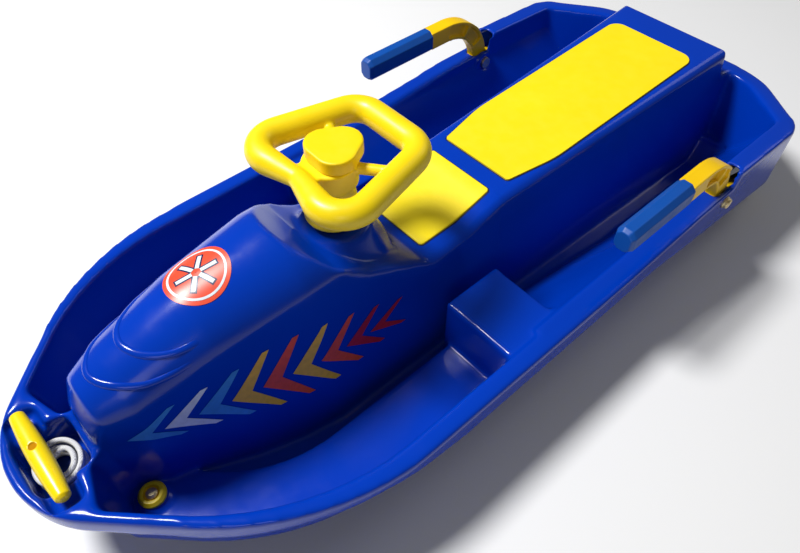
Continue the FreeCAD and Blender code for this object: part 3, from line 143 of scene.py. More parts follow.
# %% [markdown]
# From the top loop a short tail bends up into the toggle. It is a mesh of its own, because its upper end
# moves with the toggle while its lower end stays in the pit.


# %% Cord curve
def cord_curve(name, points):
    """A round cord along these points."""
    curve = bpy.data.curves.new(name, "CURVE")
    curve.dimensions = "3D"
    spline = curve.splines.new("NURBS")
    spline.points.add(len(points) - 1)
    for control, point in zip(spline.points, points):
        control.co = (*point, 1)
        control.radius = CORD_DIAMETER / 2
    spline.order_u = 3
    spline.use_endpoint_u = True
    spline.resolution_u = 4
    curve.bevel_depth = 1.0
    curve.bevel_resolution = 4
    curve.use_fill_caps = True
    piece = bpy.data.objects.new(name, curve)
    scene.collection.objects.link(piece)
    return piece


tow_cord = cord_curve("tow_cord", route)
TAIL_TOP, TAIL_BEND, TAIL_RISE = 0.12, 0.005, 0.006
tail_start = route[-1]
bend = tail_start + Vector((0, -TAIL_BEND, 0))
tail_route = [tail_start, bend, bend + Vector((0, 0, TAIL_RISE)), Vector((bend.x, bend.y, TAIL_TOP))]
tail_curve = cord_curve("tail_line", tail_route)
tail_mesh = bpy.data.meshes.new_from_object(tail_curve.evaluated_get(bpy.context.evaluated_depsgraph_get()))
bpy.data.objects.remove(tail_curve)
cord_tail = bpy.data.objects.new("cord_tail", tail_mesh)
scene.collection.objects.link(cord_tail)
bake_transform(cord_tail)
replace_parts(cord_tail, "tow_cord_tail")
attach(tow_cord, "hull")
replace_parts(tow_cord, "tow_cord_hank", "tow_cord_lead")
print("tail mesh:", len(tail_mesh.vertices), "vertices")

# %% [markdown]
# ## The stopper knot
# Under the deck the cord ends in a tight knot that can't pass the eyelet. A knotted curve would be truer,
# but the knot is small and out of sight. So it is a sphere from an operator, with slanting grooves
# pressed into it that part its surface into three strands.

# %% Knot
KNOT_RADIUS, KNOT_STRANDS, STRAND_SLANT, GROOVE_DEPTH = 0.0062, 3, 420, 0.16


def piece_from(skin, name):
    """A new object at the origin with this bmesh as its mesh."""
    mesh = bpy.data.meshes.new(name)
    skin.to_mesh(mesh)
    skin.free()
    piece = bpy.data.objects.new(name, mesh)
    scene.collection.objects.link(piece)
    return piece


knot_low, knot_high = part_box("tow_cord_knot")
knot_middle = (knot_low + knot_high) / 2
knot_bm = bmesh.new()
bmesh.ops.create_uvsphere(knot_bm, u_segments=36, v_segments=24, radius=KNOT_RADIUS)
for vertex in knot_bm.verts:
    turn = math.atan2(vertex.co.y, vertex.co.x)
    crest = 0.5 + 0.5 * math.cos(KNOT_STRANDS * turn + STRAND_SLANT * vertex.co.z)
    vertex.co *= 1 - GROOVE_DEPTH * (1 - crest) ** 2
bmesh.ops.translate(knot_bm, verts=knot_bm.verts, vec=knot_middle)
cord_knot = piece_from(knot_bm, "cord_knot")
cord_knot.data.shade_smooth()
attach(cord_knot, "hull")
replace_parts(cord_knot, "tow_cord_knot")
print("knot at", tuple(round(value, 4) for value in knot_middle))


# %% [markdown]
# ## Finishes
# One flat colour makes any plastic look like paint on a screen. Each finish here is a small node graph on
# Object coordinates: a slow noise tints the colour, a finer one varies the gloss, and a third gives the
# grain its bump. Metals get one noise, drawn out into brush lines where the real piece is drawn or
# rolled.

# %% Finish helpers
def new_finish(name):
    """A new material, its node tree, its shader and its Object coordinates."""
    material = bpy.data.materials.new(name)
    material.use_nodes = True
    tree = material.node_tree
    shader = next(node for node in tree.nodes if node.type == "BSDF_PRINCIPLED")
    place = tree.nodes.new("ShaderNodeTexCoord")
    return material, tree, shader, place.outputs["Object"]


def noise(tree, coordinates, scale, detail=3.0, stretch=(1, 1, 1)):
    mapping = tree.nodes.new("ShaderNodeMapping")
    mapping.inputs["Scale"].default_value = stretch
    tree.links.new(coordinates, mapping.inputs["Vector"])
    texture = tree.nodes.new("ShaderNodeTexNoise")
    texture.inputs["Scale"].default_value = scale
    texture.inputs["Detail"].default_value = detail
    tree.links.new(mapping.outputs["Vector"], texture.inputs["Vector"])
    return texture.outputs["Fac"]


def ramp(tree, value, stops):
    """A colour ramp through these (position, colour) stops."""
    node = tree.nodes.new("ShaderNodeValToRGB")
    while len(node.color_ramp.elements) < len(stops):
        node.color_ramp.elements.new(0.5)
    for element, (position, colour) in zip(node.color_ramp.elements, stops):
        element.position = position
        element.color = (*colour, 1)
    tree.links.new(value, node.inputs["Fac"])
    return node.outputs["Color"]


def shaded(colour, factor):
    return tuple(min(1.0, channel * factor) for channel in colour)


def grey(level):
    return (level, level, level)


def bumped(tree, shader, height, strength, distance):
    bump = tree.nodes.new("ShaderNodeBump")
    bump.inputs["Strength"].default_value = strength
    bump.inputs["Distance"].default_value = distance
    tree.links.new(height, bump.inputs["Height"])
    tree.links.new(bump.outputs["Normal"], shader.inputs["Normal"])


# %% Plastic and metal
RUB_SCALE, GRAIN_DEPTH, BRUSH_DEPTH = 60.0, 0.0004, 0.0003


def plastic(name, colour, rough, tint=0.1, grain=700.0, bump=0.08, slow=9.0, sheen=0.5):
    material, tree, shader, place = new_finish(name)
    shader.inputs["Specular IOR Level"].default_value = sheen
    tints = [(0.3, shaded(colour, 1 - tint)), (0.7, shaded(colour, 1 + tint))]
    tree.links.new(ramp(tree, noise(tree, place, slow), tints), shader.inputs["Base Color"])
    rubs = [(0.35, grey(rough * 0.85)), (0.7, grey(rough * 1.2))]
    tree.links.new(ramp(tree, noise(tree, place, RUB_SCALE, 5.0), rubs), shader.inputs["Roughness"])
    bumped(tree, shader, noise(tree, place, grain, 2.0), bump, GRAIN_DEPTH)
    return material


def metal(name, colour, rough, stretch=(1, 1, 1), scale=220.0):
    material, tree, shader, place = new_finish(name)
    shader.inputs["Metallic"].default_value = 1.0
    lines = noise(tree, place, scale, 4.0, stretch)
    tints = [(0.3, shaded(colour, 0.8)), (0.7, shaded(colour, 1.12))]
    rubs = [(0.3, grey(rough * 0.8)), (0.7, grey(rough * 1.3))]
    tree.links.new(ramp(tree, lines, tints), shader.inputs["Base Color"])
    tree.links.new(ramp(tree, lines, rubs), shader.inputs["Roughness"])
    bumped(tree, shader, lines, 0.1, BRUSH_DEPTH)
    return material


# %% Finishes of this sled
HULL_BLUE = plastic("hull_blue", (0.0, 0.038, 0.43), 0.17, tint=0.07, grain=420.0, bump=0.03, slow=5.0,
                    sheen=0.32)
PAD_YELLOW = plastic("pad_yellow", (0.95, 0.75, 0.003), 0.5, tint=0.03, grain=1400.0, bump=0.25)
WHEEL_YELLOW = plastic("wheel_yellow", (0.95, 0.70, 0.003), 0.38, tint=0.03, grain=900.0, bump=0.06)
LEVER_YELLOW = plastic("lever_yellow", (0.93, 0.58, 0.002), 0.38, tint=0.05, grain=900.0, bump=0.06,
                       sheen=0.3)
GRIP_BLUE = plastic("grip_blue", (0.002, 0.075, 0.38), 0.42, tint=0.06, grain=1200.0, bump=0.15, sheen=0.3)
TOGGLE_YELLOW = plastic("toggle_yellow", (0.95, 0.70, 0.003), 0.3, tint=0.04, grain=800.0, bump=0.05)
BLACK_PLASTIC = plastic("black_plastic", (0.022, 0.022, 0.025), 0.5, tint=0.2, grain=900.0, bump=0.15)
BUSH_WHITE = plastic("bush_white", (0.72, 0.72, 0.68), 0.45, tint=0.05)
ZINC = metal("zinc_plate", (0.82, 0.68, 0.38), 0.45)
ROD_STEEL = metal("rod_steel", (0.55, 0.56, 0.57), 0.28, stretch=(1, 0.02, 1), scale=500.0)
CLAW_STEEL = metal("claw_steel", (0.40, 0.22, 0.14), 0.42, stretch=(1, 0.2, 0.2))
EYELET_METAL = metal("eyelet_metal", (0.70, 0.71, 0.72), 0.3)
FINISH = {"hull_blue": HULL_BLUE, "pad_yellow": PAD_YELLOW, "wheel_yellow": WHEEL_YELLOW,
          "lever_yellow": LEVER_YELLOW, "grip_blue": GRIP_BLUE, "handle_yellow": TOGGLE_YELLOW,
          "housing_black": BLACK_PLASTIC, "bush_white": BUSH_WHITE, "ski_black": BLACK_PLASTIC,
          "zinc_steel": ZINC, "runner_steel": ROD_STEEL, "claw_steel": CLAW_STEEL,
          "eyelet_metal": EYELET_METAL}
print("finishes:", len(FINISH))

# %% [markdown]
# ## Painted shade in the toggle's dimple
# The toggle has a dimple over its cord hole, and it looks darker than the rest, as shade falls into the
# hollow. The CAD mesh has the hollow. A second material on its faces would end in a hard line, so the
# finish itself takes a painted shade, brown and dull, near that place: the distance to it steers a mix.

# %% Dimple
DIMPLE_PLACE, DIMPLE_RADIUS = (-0.0055, -0.451, 0.1350), 0.0034
# A painted shade: this brown stands in for the shade that falls into the toggle's dimple.
DIMPLE_SHADE = (0.50, 0.22, 0.006)
FADE_OUTSIDE, FADE_INSIDE = 1.25, 0.9


def paint_shade_near(material, place, radius, colour):
    """Mix a painted shade, a second, dull colour, into the finish round one place."""
    tree = material.node_tree
    shader = next(node for node in tree.nodes if node.type == "BSDF_PRINCIPLED")
    coordinates = next(node for node in tree.nodes if node.type == "TEX_COORD")
    apart = tree.nodes.new("ShaderNodeVectorMath")
    apart.operation = "DISTANCE"
    apart.inputs[1].default_value = place
    tree.links.new(coordinates.outputs["Object"], apart.inputs[0])
    near = tree.nodes.new("ShaderNodeMapRange")
    near.inputs["From Min"].default_value = radius * FADE_OUTSIDE
    near.inputs["From Max"].default_value = radius * FADE_INSIDE
    tree.links.new(apart.outputs["Value"], near.inputs["Value"])
    mix = tree.nodes.new("ShaderNodeMix")
    mix.data_type = "RGBA"
    mix.inputs["B"].default_value = (*colour, 1)
    tree.links.new(near.outputs["Result"], mix.inputs["Factor"])
    tree.links.new(shader.inputs["Base Color"].links[0].from_socket, mix.inputs["A"])
    tree.links.new(mix.outputs["Result"], shader.inputs["Base Color"])
    dull = tree.nodes.new("ShaderNodeMapRange")
    dull.inputs["To Min"].default_value = shader.inputs["Specular IOR Level"].default_value
    dull.inputs["To Max"].default_value = 0.0
    tree.links.new(near.outputs["Result"], dull.inputs["Value"])
    tree.links.new(dull.outputs["Result"], shader.inputs["Specular IOR Level"])


paint_shade_near(TOGGLE_YELLOW, DIMPLE_PLACE, DIMPLE_RADIUS, DIMPLE_SHADE)
print("toggle dimple darkened")

# %% [markdown]
# ## Cord finish
# The cord is braided. Modelled strands would take a great many faces for so thin a cord, so a slanting
# wave texture draws the braid, in its colour and in its bump.

# %% Cord finish
BRAID_SCALE, BRAID_WANDER, BRAID_DEPTH = 420.0, 3.0, 0.0006


def cord_finish():
    material, tree, shader, place = new_finish("cord_white")
    wave = tree.nodes.new("ShaderNodeTexWave")
    wave.wave_type = "BANDS"
    wave.bands_direction = "DIAGONAL"
    wave.inputs["Scale"].default_value = BRAID_SCALE
    wave.inputs["Distortion"].default_value = BRAID_WANDER
    tree.links.new(place, wave.inputs["Vector"])
    strands = [(0.1, grey(0.52)), (0.6, grey(0.86))]
    tree.links.new(ramp(tree, wave.outputs["Fac"], strands), shader.inputs["Base Color"])
    shader.inputs["Roughness"].default_value = 0.85
    bumped(tree, shader, wave.outputs["Fac"], 0.5, BRAID_DEPTH)
    return material


CORD_WHITE = cord_finish()
FINISH["cord_white"] = CORD_WHITE
for piece in (tow_cord, cord_tail, cord_knot):
    piece.data.materials.clear()
    piece.data.materials.append(CORD_WHITE)
print("cord pieces painted")

# %% [markdown]
# ## Mouldings
# Plastic from a mould has no sharp edges. A bevel on every edge would fail where many edges of the CAD
# mesh meet. So a copy of that mesh is merged into one closed skin, remeshed into small even cells and
# smoothed, and every edge takes the soft radius that the real moulding has. The same recipe serves the
# hull, the wheel and the levers, each with a cell to suit its size.

# %% Moulding helpers
WELD = 0.00001
SOFT_FADE = 0.010


def skin_of(nodes):
    """One merged bmesh of these CAD nodes."""
    skin = bmesh.new()
    for node in nodes:
        skin.from_mesh(frame["nodes"][node].data)
    bmesh.ops.remove_doubles(skin, verts=skin.verts, dist=WELD)
    return skin


def set_piece(piece, body, slot, nodes):
    """Give the piece its finish and its body, in place of these CAD nodes."""
    mesh = piece.data
    mesh.materials.clear()
    mesh.materials.append(FINISH[slot])
    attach(piece, body)
    if nodes:
        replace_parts(piece, *nodes)


def settle(piece):
    """Make the modifiers' result the piece's own mesh."""
    result = bpy.data.meshes.new_from_object(piece.evaluated_get(bpy.context.evaluated_depsgraph_get()))
    piece.modifiers.clear()
    piece.data = result
    result.name = piece.name
    result.shade_smooth()


def add_smooth(piece, rounds):
    smooth = piece.modifiers.new("soften", "SMOOTH")
    smooth.factor = 0.5
    smooth.iterations = rounds
    return smooth


def soften_more(piece, places):
    """Smooth the skin again inside some boxes, fading out towards their faces."""
    for low, high, rounds in places:
        group = piece.vertex_groups.new(name="soft")
        for vertex in piece.data.vertices:
            sides = zip(low, vertex.co, high)
            depth = min(min(value - least, most - value) for least, value, most in sides)
            if depth > 0:
                group.add([vertex.index], min(1, depth / SOFT_FADE), "REPLACE")
        add_smooth(piece, rounds).vertex_group = group.name
    settle(piece)
    piece.vertex_groups.clear()


def moulded(name, nodes, body, slot, cell, rounds, keep=1.0, extra=None, softer=()):
    """Remesh these CAD nodes into one soft-edged piece."""
    skin = skin_of(nodes)
    if extra:
        extra(skin)
    piece = piece_from(skin, name)
    remesh = piece.modifiers.new("cells", "REMESH")
    remesh.mode = "VOXEL"
    remesh.voxel_size = cell
    add_smooth(piece, rounds)
    if softer:
        settle(piece)
        soften_more(piece, softer)
    if keep < 1:
        thin = piece.modifiers.new("thin", "DECIMATE")
        thin.ratio = keep
    settle(piece)
    set_piece(piece, body, slot, nodes)
    print(name, "faces:", len(piece.data.polygons))
    return piece


# %% [markdown]
# ## Hull
# The hull is one thin blue moulding. Under the pads its skin is thinner than a cell of the remesh.
# Smaller cells would take many more faces, so sunken copies of the pads thicken it there, where the real
# pads hide them. The nose, the scoop before the seat, the stern and the rims are rounder than the rest,
# so each has a box in which the skin is smoothed again.

# %% Hull
HULL_CELL, HULL_ROUNDS, HULL_KEEP = 0.0018, 16, 0.145
PAD_SINK = 0.0021
SOFT_NOSE = ((-0.13, -0.49, 0.052), (0.13, -0.392, 0.160), 45)
SOFT_SCOOP = ((-0.08, -0.172, 0.100), (0.08, -0.062, 0.200), 45)
SOFT_STERN = ((-0.215, 0.396, 0.060), (0.215, 0.485, 0.200), 30)
SOFT_NEAR_RIM = ((0.10, -0.49, 0.060), (0.215, 0.17, 0.140), 24)
SOFT_FAR_RIM = ((-0.215, -0.49, 0.060), (-0.10, 0.17, 0.140), 24)


def thicken_seat(skin):
    for node in ("seat_pad_front", "seat_pad_rear"):
        sunken = frame["nodes"][node].data.copy()
        sunken.transform(Matrix.Translation((0, 0, -PAD_SINK)))
        skin.from_mesh(sunken)
        bpy.data.meshes.remove(sunken)


hull = moulded("hull_moulding", ["hull"], "hull", "hull_blue", HULL_CELL, HULL_ROUNDS, keep=HULL_KEEP,
               extra=thicken_seat, softer=[SOFT_NOSE, SOFT_SCOOP, SOFT_STERN, SOFT_NEAR_RIM, SOFT_FAR_RIM])

# %% [markdown]
# ## Round the seat's edges
# The seat's long edges are rounder than the smoothing makes them. More smoothing would also shrink the
# spine. Instead, a vertex that stands in the corner between the seat and the spine's wall, outside a
# circle that touches both, is drawn in to that circle.

# %% Seat edges
SEAT_LINE = [(-0.075, 0.135), (-0.018, 0.137), (0.032, 0.151), (0.434, 0.1675)]
WALL_TOP = [(-0.075, 0.0663), (0.032, 0.0640), (0.434, 0.0803)]
WALL_LEAN, EDGE_RADIUS = 0.125, 0.010


def along_sled(line, y):
    """The value of a line of (y, value) points at this y."""
    for (start, first), (end, last) in zip(line, line[1:]):
        if y <= end:
            return first + (last - first) * (y - start) / (end - start)
    return line[-1][1]


rounded = 0
for vertex in hull.data.vertices:
    x, y, z = vertex.co
    if not SEAT_LINE[0][0] < y < SEAT_LINE[-1][0]:
        continue
    under_seat = along_sled(SEAT_LINE, y) - z
    up = EDGE_RADIUS - under_seat
    across = abs(x) - (along_sled(WALL_TOP, y) + WALL_LEAN * under_seat - EDGE_RADIUS)
    reach = math.hypot(across, up)
    if across > 0 and up > 0 and reach > EDGE_RADIUS:
        vertex.co.x = x - math.copysign(across * (1 - EDGE_RADIUS / reach), x)
        vertex.co.z = z - up * (1 - EDGE_RADIUS / reach)
        rounded += 1
print("vertices drawn in at the seat's edges:", rounded)

# %% [markdown]
# ## Ink
# A printed design lies on each side of the hump and a round sticker on its top. A pattern in the hull's
# own finish would need a picture or a long chain of nodes. So each is a thin sheet of small faces, laid
# on the moulding by rays, a hair above it. One ink finish takes its colour from the mesh.

# %% Ink
LIFT = 0.0004
INK = {"red": (0.55, 0.016, 0.006), "orange": (0.90, 0.10, 0.008), "yellow": (0.95, 0.55, 0.02),
       "sky": (0.06, 0.30, 0.72), "pale": (0.78, 0.86, 0.92), "navy": (0.004, 0.012, 0.08),
       "coral": (0.86, 0.085, 0.035)}


def ink_finish():
    material, tree, shader, place = new_finish("print_ink")
    ink = tree.nodes.new("ShaderNodeVertexColor")
    ink.layer_name = "ink"
    speck = ramp(tree, noise(tree, place, 160.0, 4.0), [(0.3, grey(0.86)), (0.65, grey(1.0))])
    mix = tree.nodes.new("ShaderNodeMix")
    mix.data_type = "RGBA"
    mix.blend_type = "MULTIPLY"
    mix.inputs["Factor"].default_value = 1.0
    tree.links.new(ink.outputs["Color"], mix.inputs["A"])
    tree.links.new(speck, mix.inputs["B"])
    tree.links.new(mix.outputs["Result"], shader.inputs["Base Color"])
    shader.inputs["Roughness"].default_value = 0.32
    return material


PRINT_INK = ink_finish()
moulding_skin = bmesh.new()
moulding_skin.from_mesh(hull.data)
moulding_tree = BVHTree.FromBMesh(moulding_skin)
moulding_skin.free()
print("inks:", sorted(INK))

# %% Sheet helpers
ABOVE_SLED, DOWN = 0.30, Vector((0, 0, -1))
ACROSS_BAR = (-1, -0.5, 0, 0.5, 1)


def from_above(point):
    return Vector((point.x, point.y, ABOVE_SLED))


def span(sheet, rows):
    """Smooth faces between rows of vertices."""
    faces = []
    for upper, lower in zip(rows, rows[1:]):
        for corner in range(len(upper) - 1):
            corners = (upper[corner], lower[corner], lower[corner + 1], upper[corner + 1])
            faces.append(sheet.faces.new(corners))
            faces[-1].smooth = True
    return faces


def lay(sheet, layer, start_of, aim, grid, colour, lift):
    """Lay a grid of flat points on the moulding and colour its faces."""
    rows = []
    for row in grid:
        places = []
        for point in row:
            place, normal, _, _ = moulding_tree.ray_cast(start_of(point), aim)
            places.append(sheet.verts.new(place + normal * lift))
        rows.append(places)
    for face in span(sheet, rows):
        for loop in face.loops:
            loop[layer] = (*colour, 1)


def print_sheet(name, draw):
    """A sheet of ink on the hull, drawn by a function."""
    sheet = bmesh.new()
    draw(sheet, sheet.loops.layers.float_color.new("ink"))
    bmesh.ops.recalc_face_normals(sheet, faces=sheet.faces)
    piece = piece_from(sheet, name)
    piece.data.materials.append(PRINT_INK)
    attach(piece, "hull")
    print(name, "faces:", len(piece.data.polygons))


# %% [markdown]
# ## Front ridges
# Two low ridges sweep round the hump's nose, one inside the other. They could be pushed out of the hull's
# skin, but its cells are too coarse for so narrow a form. So each is a bar with a rounded crown, laid
# along a smooth line on the moulding and fading out at both its back ends.

# %% Ridge lines
OUTER_RIDGE = [(0.000, -0.3880), (0.014, -0.3835), (0.026, -0.3730), (0.035, -0.3580), (0.041, -0.3370),
               (0.045, -0.3120)]
INNER_RIDGE = [(0.000, -0.3560), (0.014, -0.3520), (0.024, -0.3440), (0.032, -0.3320), (0.037, -0.3180),
               (0.040, -0.3020)]
RIDGE_HALF, RIDGE_HEIGHT, RIDGE_ROOT = 0.0034, 0.0020, 0.0006
RIDGE_END, RIDGE_FADE = 0.08, 6
CROWN = [(math.sin(turn), math.cos(turn)) for turn in (math.radians(angle) for angle in range(-90, 91, 22))]


def smooth_line(points, steps=8):
    """Points on a curve that passes through each given point."""
    ends = [points[0]] + points + [points[-1]]
    line = []
    for before, start, end, after in zip(ends, ends[1:], ends[2:], ends[3:]):
        for step in range(steps):
            part = step / steps
            leave = start * (1 - 3 * part ** 2 + 2 * part ** 3)
            arrive = end * (3 * part ** 2 - 2 * part ** 3)
            pull = (end - before) * 0.5 * (part - 2 * part ** 2 + part ** 3)
            push = (after - start) * 0.5 * (part ** 3 - part ** 2)
            line.append(leave + arrive + pull + push)
    return line + [points[-1]]


def ridge(sheet, line):
    """A closed bar along the line, with its foot sunk into the moulding."""
    rows = []
    last = len(line) - 1
    for count, here in enumerate(line):
        run = (line[min(count + 1, last)] - line[max(count - 1, 0)]).normalized()
        fade = min(1.0, RIDGE_END + RIDGE_FADE * min(count, last - count) / last)
        place, normal, _, _ = moulding_tree.ray_cast(from_above(here), DOWN)
        across = Vector((run.x, run.y, 0)).cross(normal).normalized()
        row = []
        for side, up in CROWN:
            height = RIDGE_HEIGHT * up * fade - RIDGE_ROOT
            row.append(sheet.verts.new(place + across * RIDGE_HALF * side + normal * height))
        rows.append(row)
    span(sheet, rows)
    for upper, lower in zip(rows, rows[1:]):
        sheet.faces.new((upper[-1], lower[-1], lower[0], upper[0]))
    sheet.faces.new(rows[0])
    sheet.faces.new(rows[-1])


# %% Ridges
ridge_bm = bmesh.new()
for points in (OUTER_RIDGE, INNER_RIDGE):
    far_half = [Vector((-x, y)) for x, y in reversed(points[1:])]
    ridge(ridge_bm, smooth_line(far_half + [Vector(point) for point in points]))
bmesh.ops.recalc_face_normals(ridge_bm, faces=ridge_bm.faces)
hump_ridges = piece_from(ridge_bm, "hump_ridges")
set_piece(hump_ridges, "hull", "hull_blue", [])
print("ridge faces:", len(hump_ridges.data.polygons))

# %% [markdown]
# ## Side print
# The print runs along each side of the hump, cool in front and warm behind. It is a row of chevrons. Each
# could be two straight arms, but those would overlap at the point and flicker, so each is one bent bar
# with a mitre.

# %% Side print
CHEVRONS = [("sky", 0.044), ("pale", 0.052), ("sky", 0.064), ("yellow", 0.078), ("orange", 0.082),
            ("yellow", 0.076), ("orange", 0.064), ("red", 0.050), ("red", 0.034)]
PRINT_FRONT, PRINT_BACK = Vector((-0.382, 0.126)), Vector((-0.150, 0.100))
CHEVRON_REACH, CHEVRON_WIDTH, CHEVRON_THIN, CHEVRON_STEPS = 0.032, 0.0190, 0.65, 10
PRINT_OFFSET, PRINT_FLARE = 0.062, 0.2


def chevron(apex, height):
    """Rows of points along a bent bar whose arms thin out to their tips."""
    rows = []
    for step in range(-CHEVRON_STEPS, CHEVRON_STEPS + 1):
        part = step / CHEVRON_STEPS
        middle = apex + Vector((CHEVRON_REACH * abs(part), part * height / 2))
        half = CHEVRON_WIDTH / 2 * (1 - CHEVRON_THIN * abs(part))
        rows.append([middle + Vector((half * side, 0)) for side in ACROSS_BAR])
    return rows


def side_print(mirror):
    def beside_hump(point):
        aside = PRINT_OFFSET + PRINT_FLARE * (point.x - PRINT_FRONT.x)
        return Vector((mirror * aside, point.x, point.y))

    def draw(sheet, layer):
        for count, (ink, height) in enumerate(CHEVRONS):
            apex = PRINT_FRONT.lerp(PRINT_BACK, count / (len(CHEVRONS) - 1))
            inward = Vector((-mirror, 0, 0))
            lay(sheet, layer, beside_hump, inward, chevron(apex, height), INK[ink], LIFT)
    return draw


for side, mirror in (("left", 1), ("right", -1)):
    print_sheet(f"side_print_{side}", side_print(mirror))

# %% [markdown]
# ## Sticker
# The sticker is a coral disc. A pale ring and a star of six arms fill it. The disc is a fan of narrow
# rows, so that its edge is round and it bends with the hump, and each layer of ink lies a little higher
# than the last.

# %% Sticker
STICKER_MIDDLE, STICKER_RADIUS = Vector((-0.003, -0.278)), 0.029
STICKER_PINHOLE, RING_INNER, RING_OUTER = 0.0004, 0.0235, 0.0255
STICKER_ARMS, ARM_START, ARM_TURN = 6, 0.004, 20
RING_LIFT = 1.3
ARM_INKS = (("navy", 0.0062, 0.0195, 1.3), ("pale", 0.0036, 0.0182, 1.6))


def strip(start, end, width, steps=10):
    """Rows of points along a bar from start to end."""
    along = (end - start).normalized()
    across = Vector((-along.y, along.x))
    rows = []
    for step in range(steps + 1):
        middle = start.lerp(end, step / steps)
        rows.append([middle + across * width / 2 * side for side in ACROSS_BAR])
    return rows


def sticker(sheet, layer):
    def ring(inner, outer, ink, lift):
        grid = []
        for turn in range(73):
            angle = math.radians(turn * 5)
            ray = Vector((math.cos(angle), math.sin(angle)))
            grid.append([STICKER_MIDDLE + ray * (inner + (outer - inner) * part / 5) for part in range(6)])
        lay(sheet, layer, from_above, DOWN, grid, INK[ink], lift)

    ring(STICKER_PINHOLE, STICKER_RADIUS, "coral", LIFT)
    ring(RING_INNER, RING_OUTER, "pale", LIFT * RING_LIFT)
    for count in range(STICKER_ARMS):
        angle = math.radians(count * 360 / STICKER_ARMS + ARM_TURN)
        ray = Vector((math.cos(angle), math.sin(angle)))
        for ink, width, reach, lift in ARM_INKS:
            arm = strip(STICKER_MIDDLE + ray * ARM_START, STICKER_MIDDLE + ray * reach, width)
            lay(sheet, layer, from_above, DOWN, arm, INK[ink], LIFT * lift)


print_sheet("hump_sticker", sticker)

# %% [markdown]
# ## Seat pads
# The pads are yellow plates let into the spine. The rear one is flat and keeps its CAD mesh. The front
# one bends up the spine, where its CAD mesh has one sharp crease. Smoothing would leave streaks on so
# flat a plate, so it is cut across into strips, and the strips near the bend are lifted onto a smooth
# curve.

# %% Front pad
PAD_EDGE, EDGE_ANGLE, EDGE_SEGMENTS = 0.0012, math.radians(40), 3
BEND_REACH, BEND_CUTS = 0.034, 8
(front_y, front_z), (bend_y, bend_z), (rise_y, rise_z) = SEAT_LINE[:3]
BEND_RISE = (rise_z - bend_z) / (rise_y - bend_y) - (bend_z - front_z) / (bend_y - front_y)
pad_bm = skin_of(["seat_pad_front"])
sharp = [edge for edge in pad_bm.edges if edge.calc_face_angle() > EDGE_ANGLE]
bmesh.ops.bevel(pad_bm, geom=sharp, offset=PAD_EDGE, segments=EDGE_SEGMENTS, profile=0.5, affect="EDGES",
                material=-1)
for cut in range(-BEND_CUTS, BEND_CUTS + 1):
    plate = pad_bm.verts[:] + pad_bm.edges[:] + pad_bm.faces[:]
    bmesh.ops.bisect_plane(pad_bm, geom=plate, dist=WELD, plane_no=(0, 1, 0),
                           plane_co=(0, bend_y + BEND_REACH * cut / BEND_CUTS, 0))
for vertex in pad_bm.verts:
    inside = max(0, BEND_REACH - abs(vertex.co.y - bend_y))
    vertex.co.z += BEND_RISE * inside ** 2 / (4 * BEND_REACH)
front_pad = piece_from(pad_bm, "front_pad")
front_pad.data.shade_smooth()
set_piece(front_pad, "hull", "pad_yellow", ["seat_pad_front"])
print("front pad faces:", len(front_pad.data.polygons))

# %% [markdown]
# ## Painted shade in the pad seams
# A thin dark line shows round each pad, where its recess is a little wider and shade falls into the gap.
# The gap is too narrow for the cells of the hull, so its shade is painted as a sheet of ink along the
# outline.

# %% Pad seams
SEAM_IN, SEAM_OUT, SEAM_LIFT, SEAM_STEP = -0.0012, 0.0016, 0.0002, 0.004
OUTLINE_WELD = 0.0002


def pad_outline(node):
    """The pad's outline from above, as a closed loop of points."""
    flat = bmesh.new()
    flat.from_mesh(frame["nodes"][node].data)
    for vertex in flat.verts:
        vertex.co.z = 0
    bmesh.ops.remove_doubles(flat, verts=flat.verts, dist=OUTLINE_WELD)
    rim = bmesh.ops.convex_hull(flat, input=flat.verts)["geom"]
    places = [item.co.copy() for item in rim if isinstance(item, bmesh.types.BMVert)]
    flat.free()
    middle = sum(places, Vector()) / len(places)
    return sorted(places, key=lambda place: math.atan2(place.y - middle.y, place.x - middle.x))


# A sheet of painted shade along the seam round one pad.
def seam_shade(node):
    def draw(sheet, layer):
        places = pad_outline(node)
        grid = []
        for before, here, after in zip(places[-1:] + places[:-1], places, places[1:] + places[:1]):
            run = (after - before).normalized()
            out = Vector((run.y, -run.x, 0))
            grid.append([here + out * (SEAM_IN + (SEAM_OUT - SEAM_IN) * part / 2) for part in range(3)])
        grid.append(grid[0])
        finer = []
        for row, follower in zip(grid, grid[1:]):
            cuts = max(1, int((follower[0] - row[0]).length / SEAM_STEP))
            finer += [[a.lerp(b, cut / cuts) for a, b in zip(row, follower)] for cut in range(cuts)]
        finer.append(grid[-1])
        # Painted shade: navy ink where shade falls into the gap round the pad.
        lay(sheet, layer, from_above, DOWN, finer, INK["navy"], SEAM_LIFT)
    return draw


print_sheet("front_pad_seam_shade", seam_shade("seat_pad_front"))
print_sheet("rear_pad_seam_shade", seam_shade("seat_pad_rear"))

# %% [markdown]
# ## Steering wheel
# The wheel is one thick tube in a rounded four-cornered ring, with two thin spokes and a broad web to its
# hub. A swept tube would meet its spokes at a hard line. The moulding recipe gives each joint a fillet.
# The hub's cap and the bell under it are mouldings of their own.

# %% Wheel, cap and bell
moulded("wheel_moulding", ["steering_wheel"], "steering", "wheel_yellow", 0.0013, 14)
moulded("hub_cap", ["wheel_hub_cap"], "steering", "wheel_yellow", 0.0009, 10)
moulded("wheel_bell", ["steering_boss"], "steering", "wheel_yellow", 0.0012, 8)

# %% [markdown]
# ## Brake levers
# Each lever is a ribbed yellow arm that curves up out of the rim, with a blue grip pushed onto its end.
# The arm is slim where it turns in the rim's slot and broadens above it, nearly to the width of the grip.
# Its ribs are in the CAD mesh already, so the arm is moulded from it and then widened about its own
# plane.

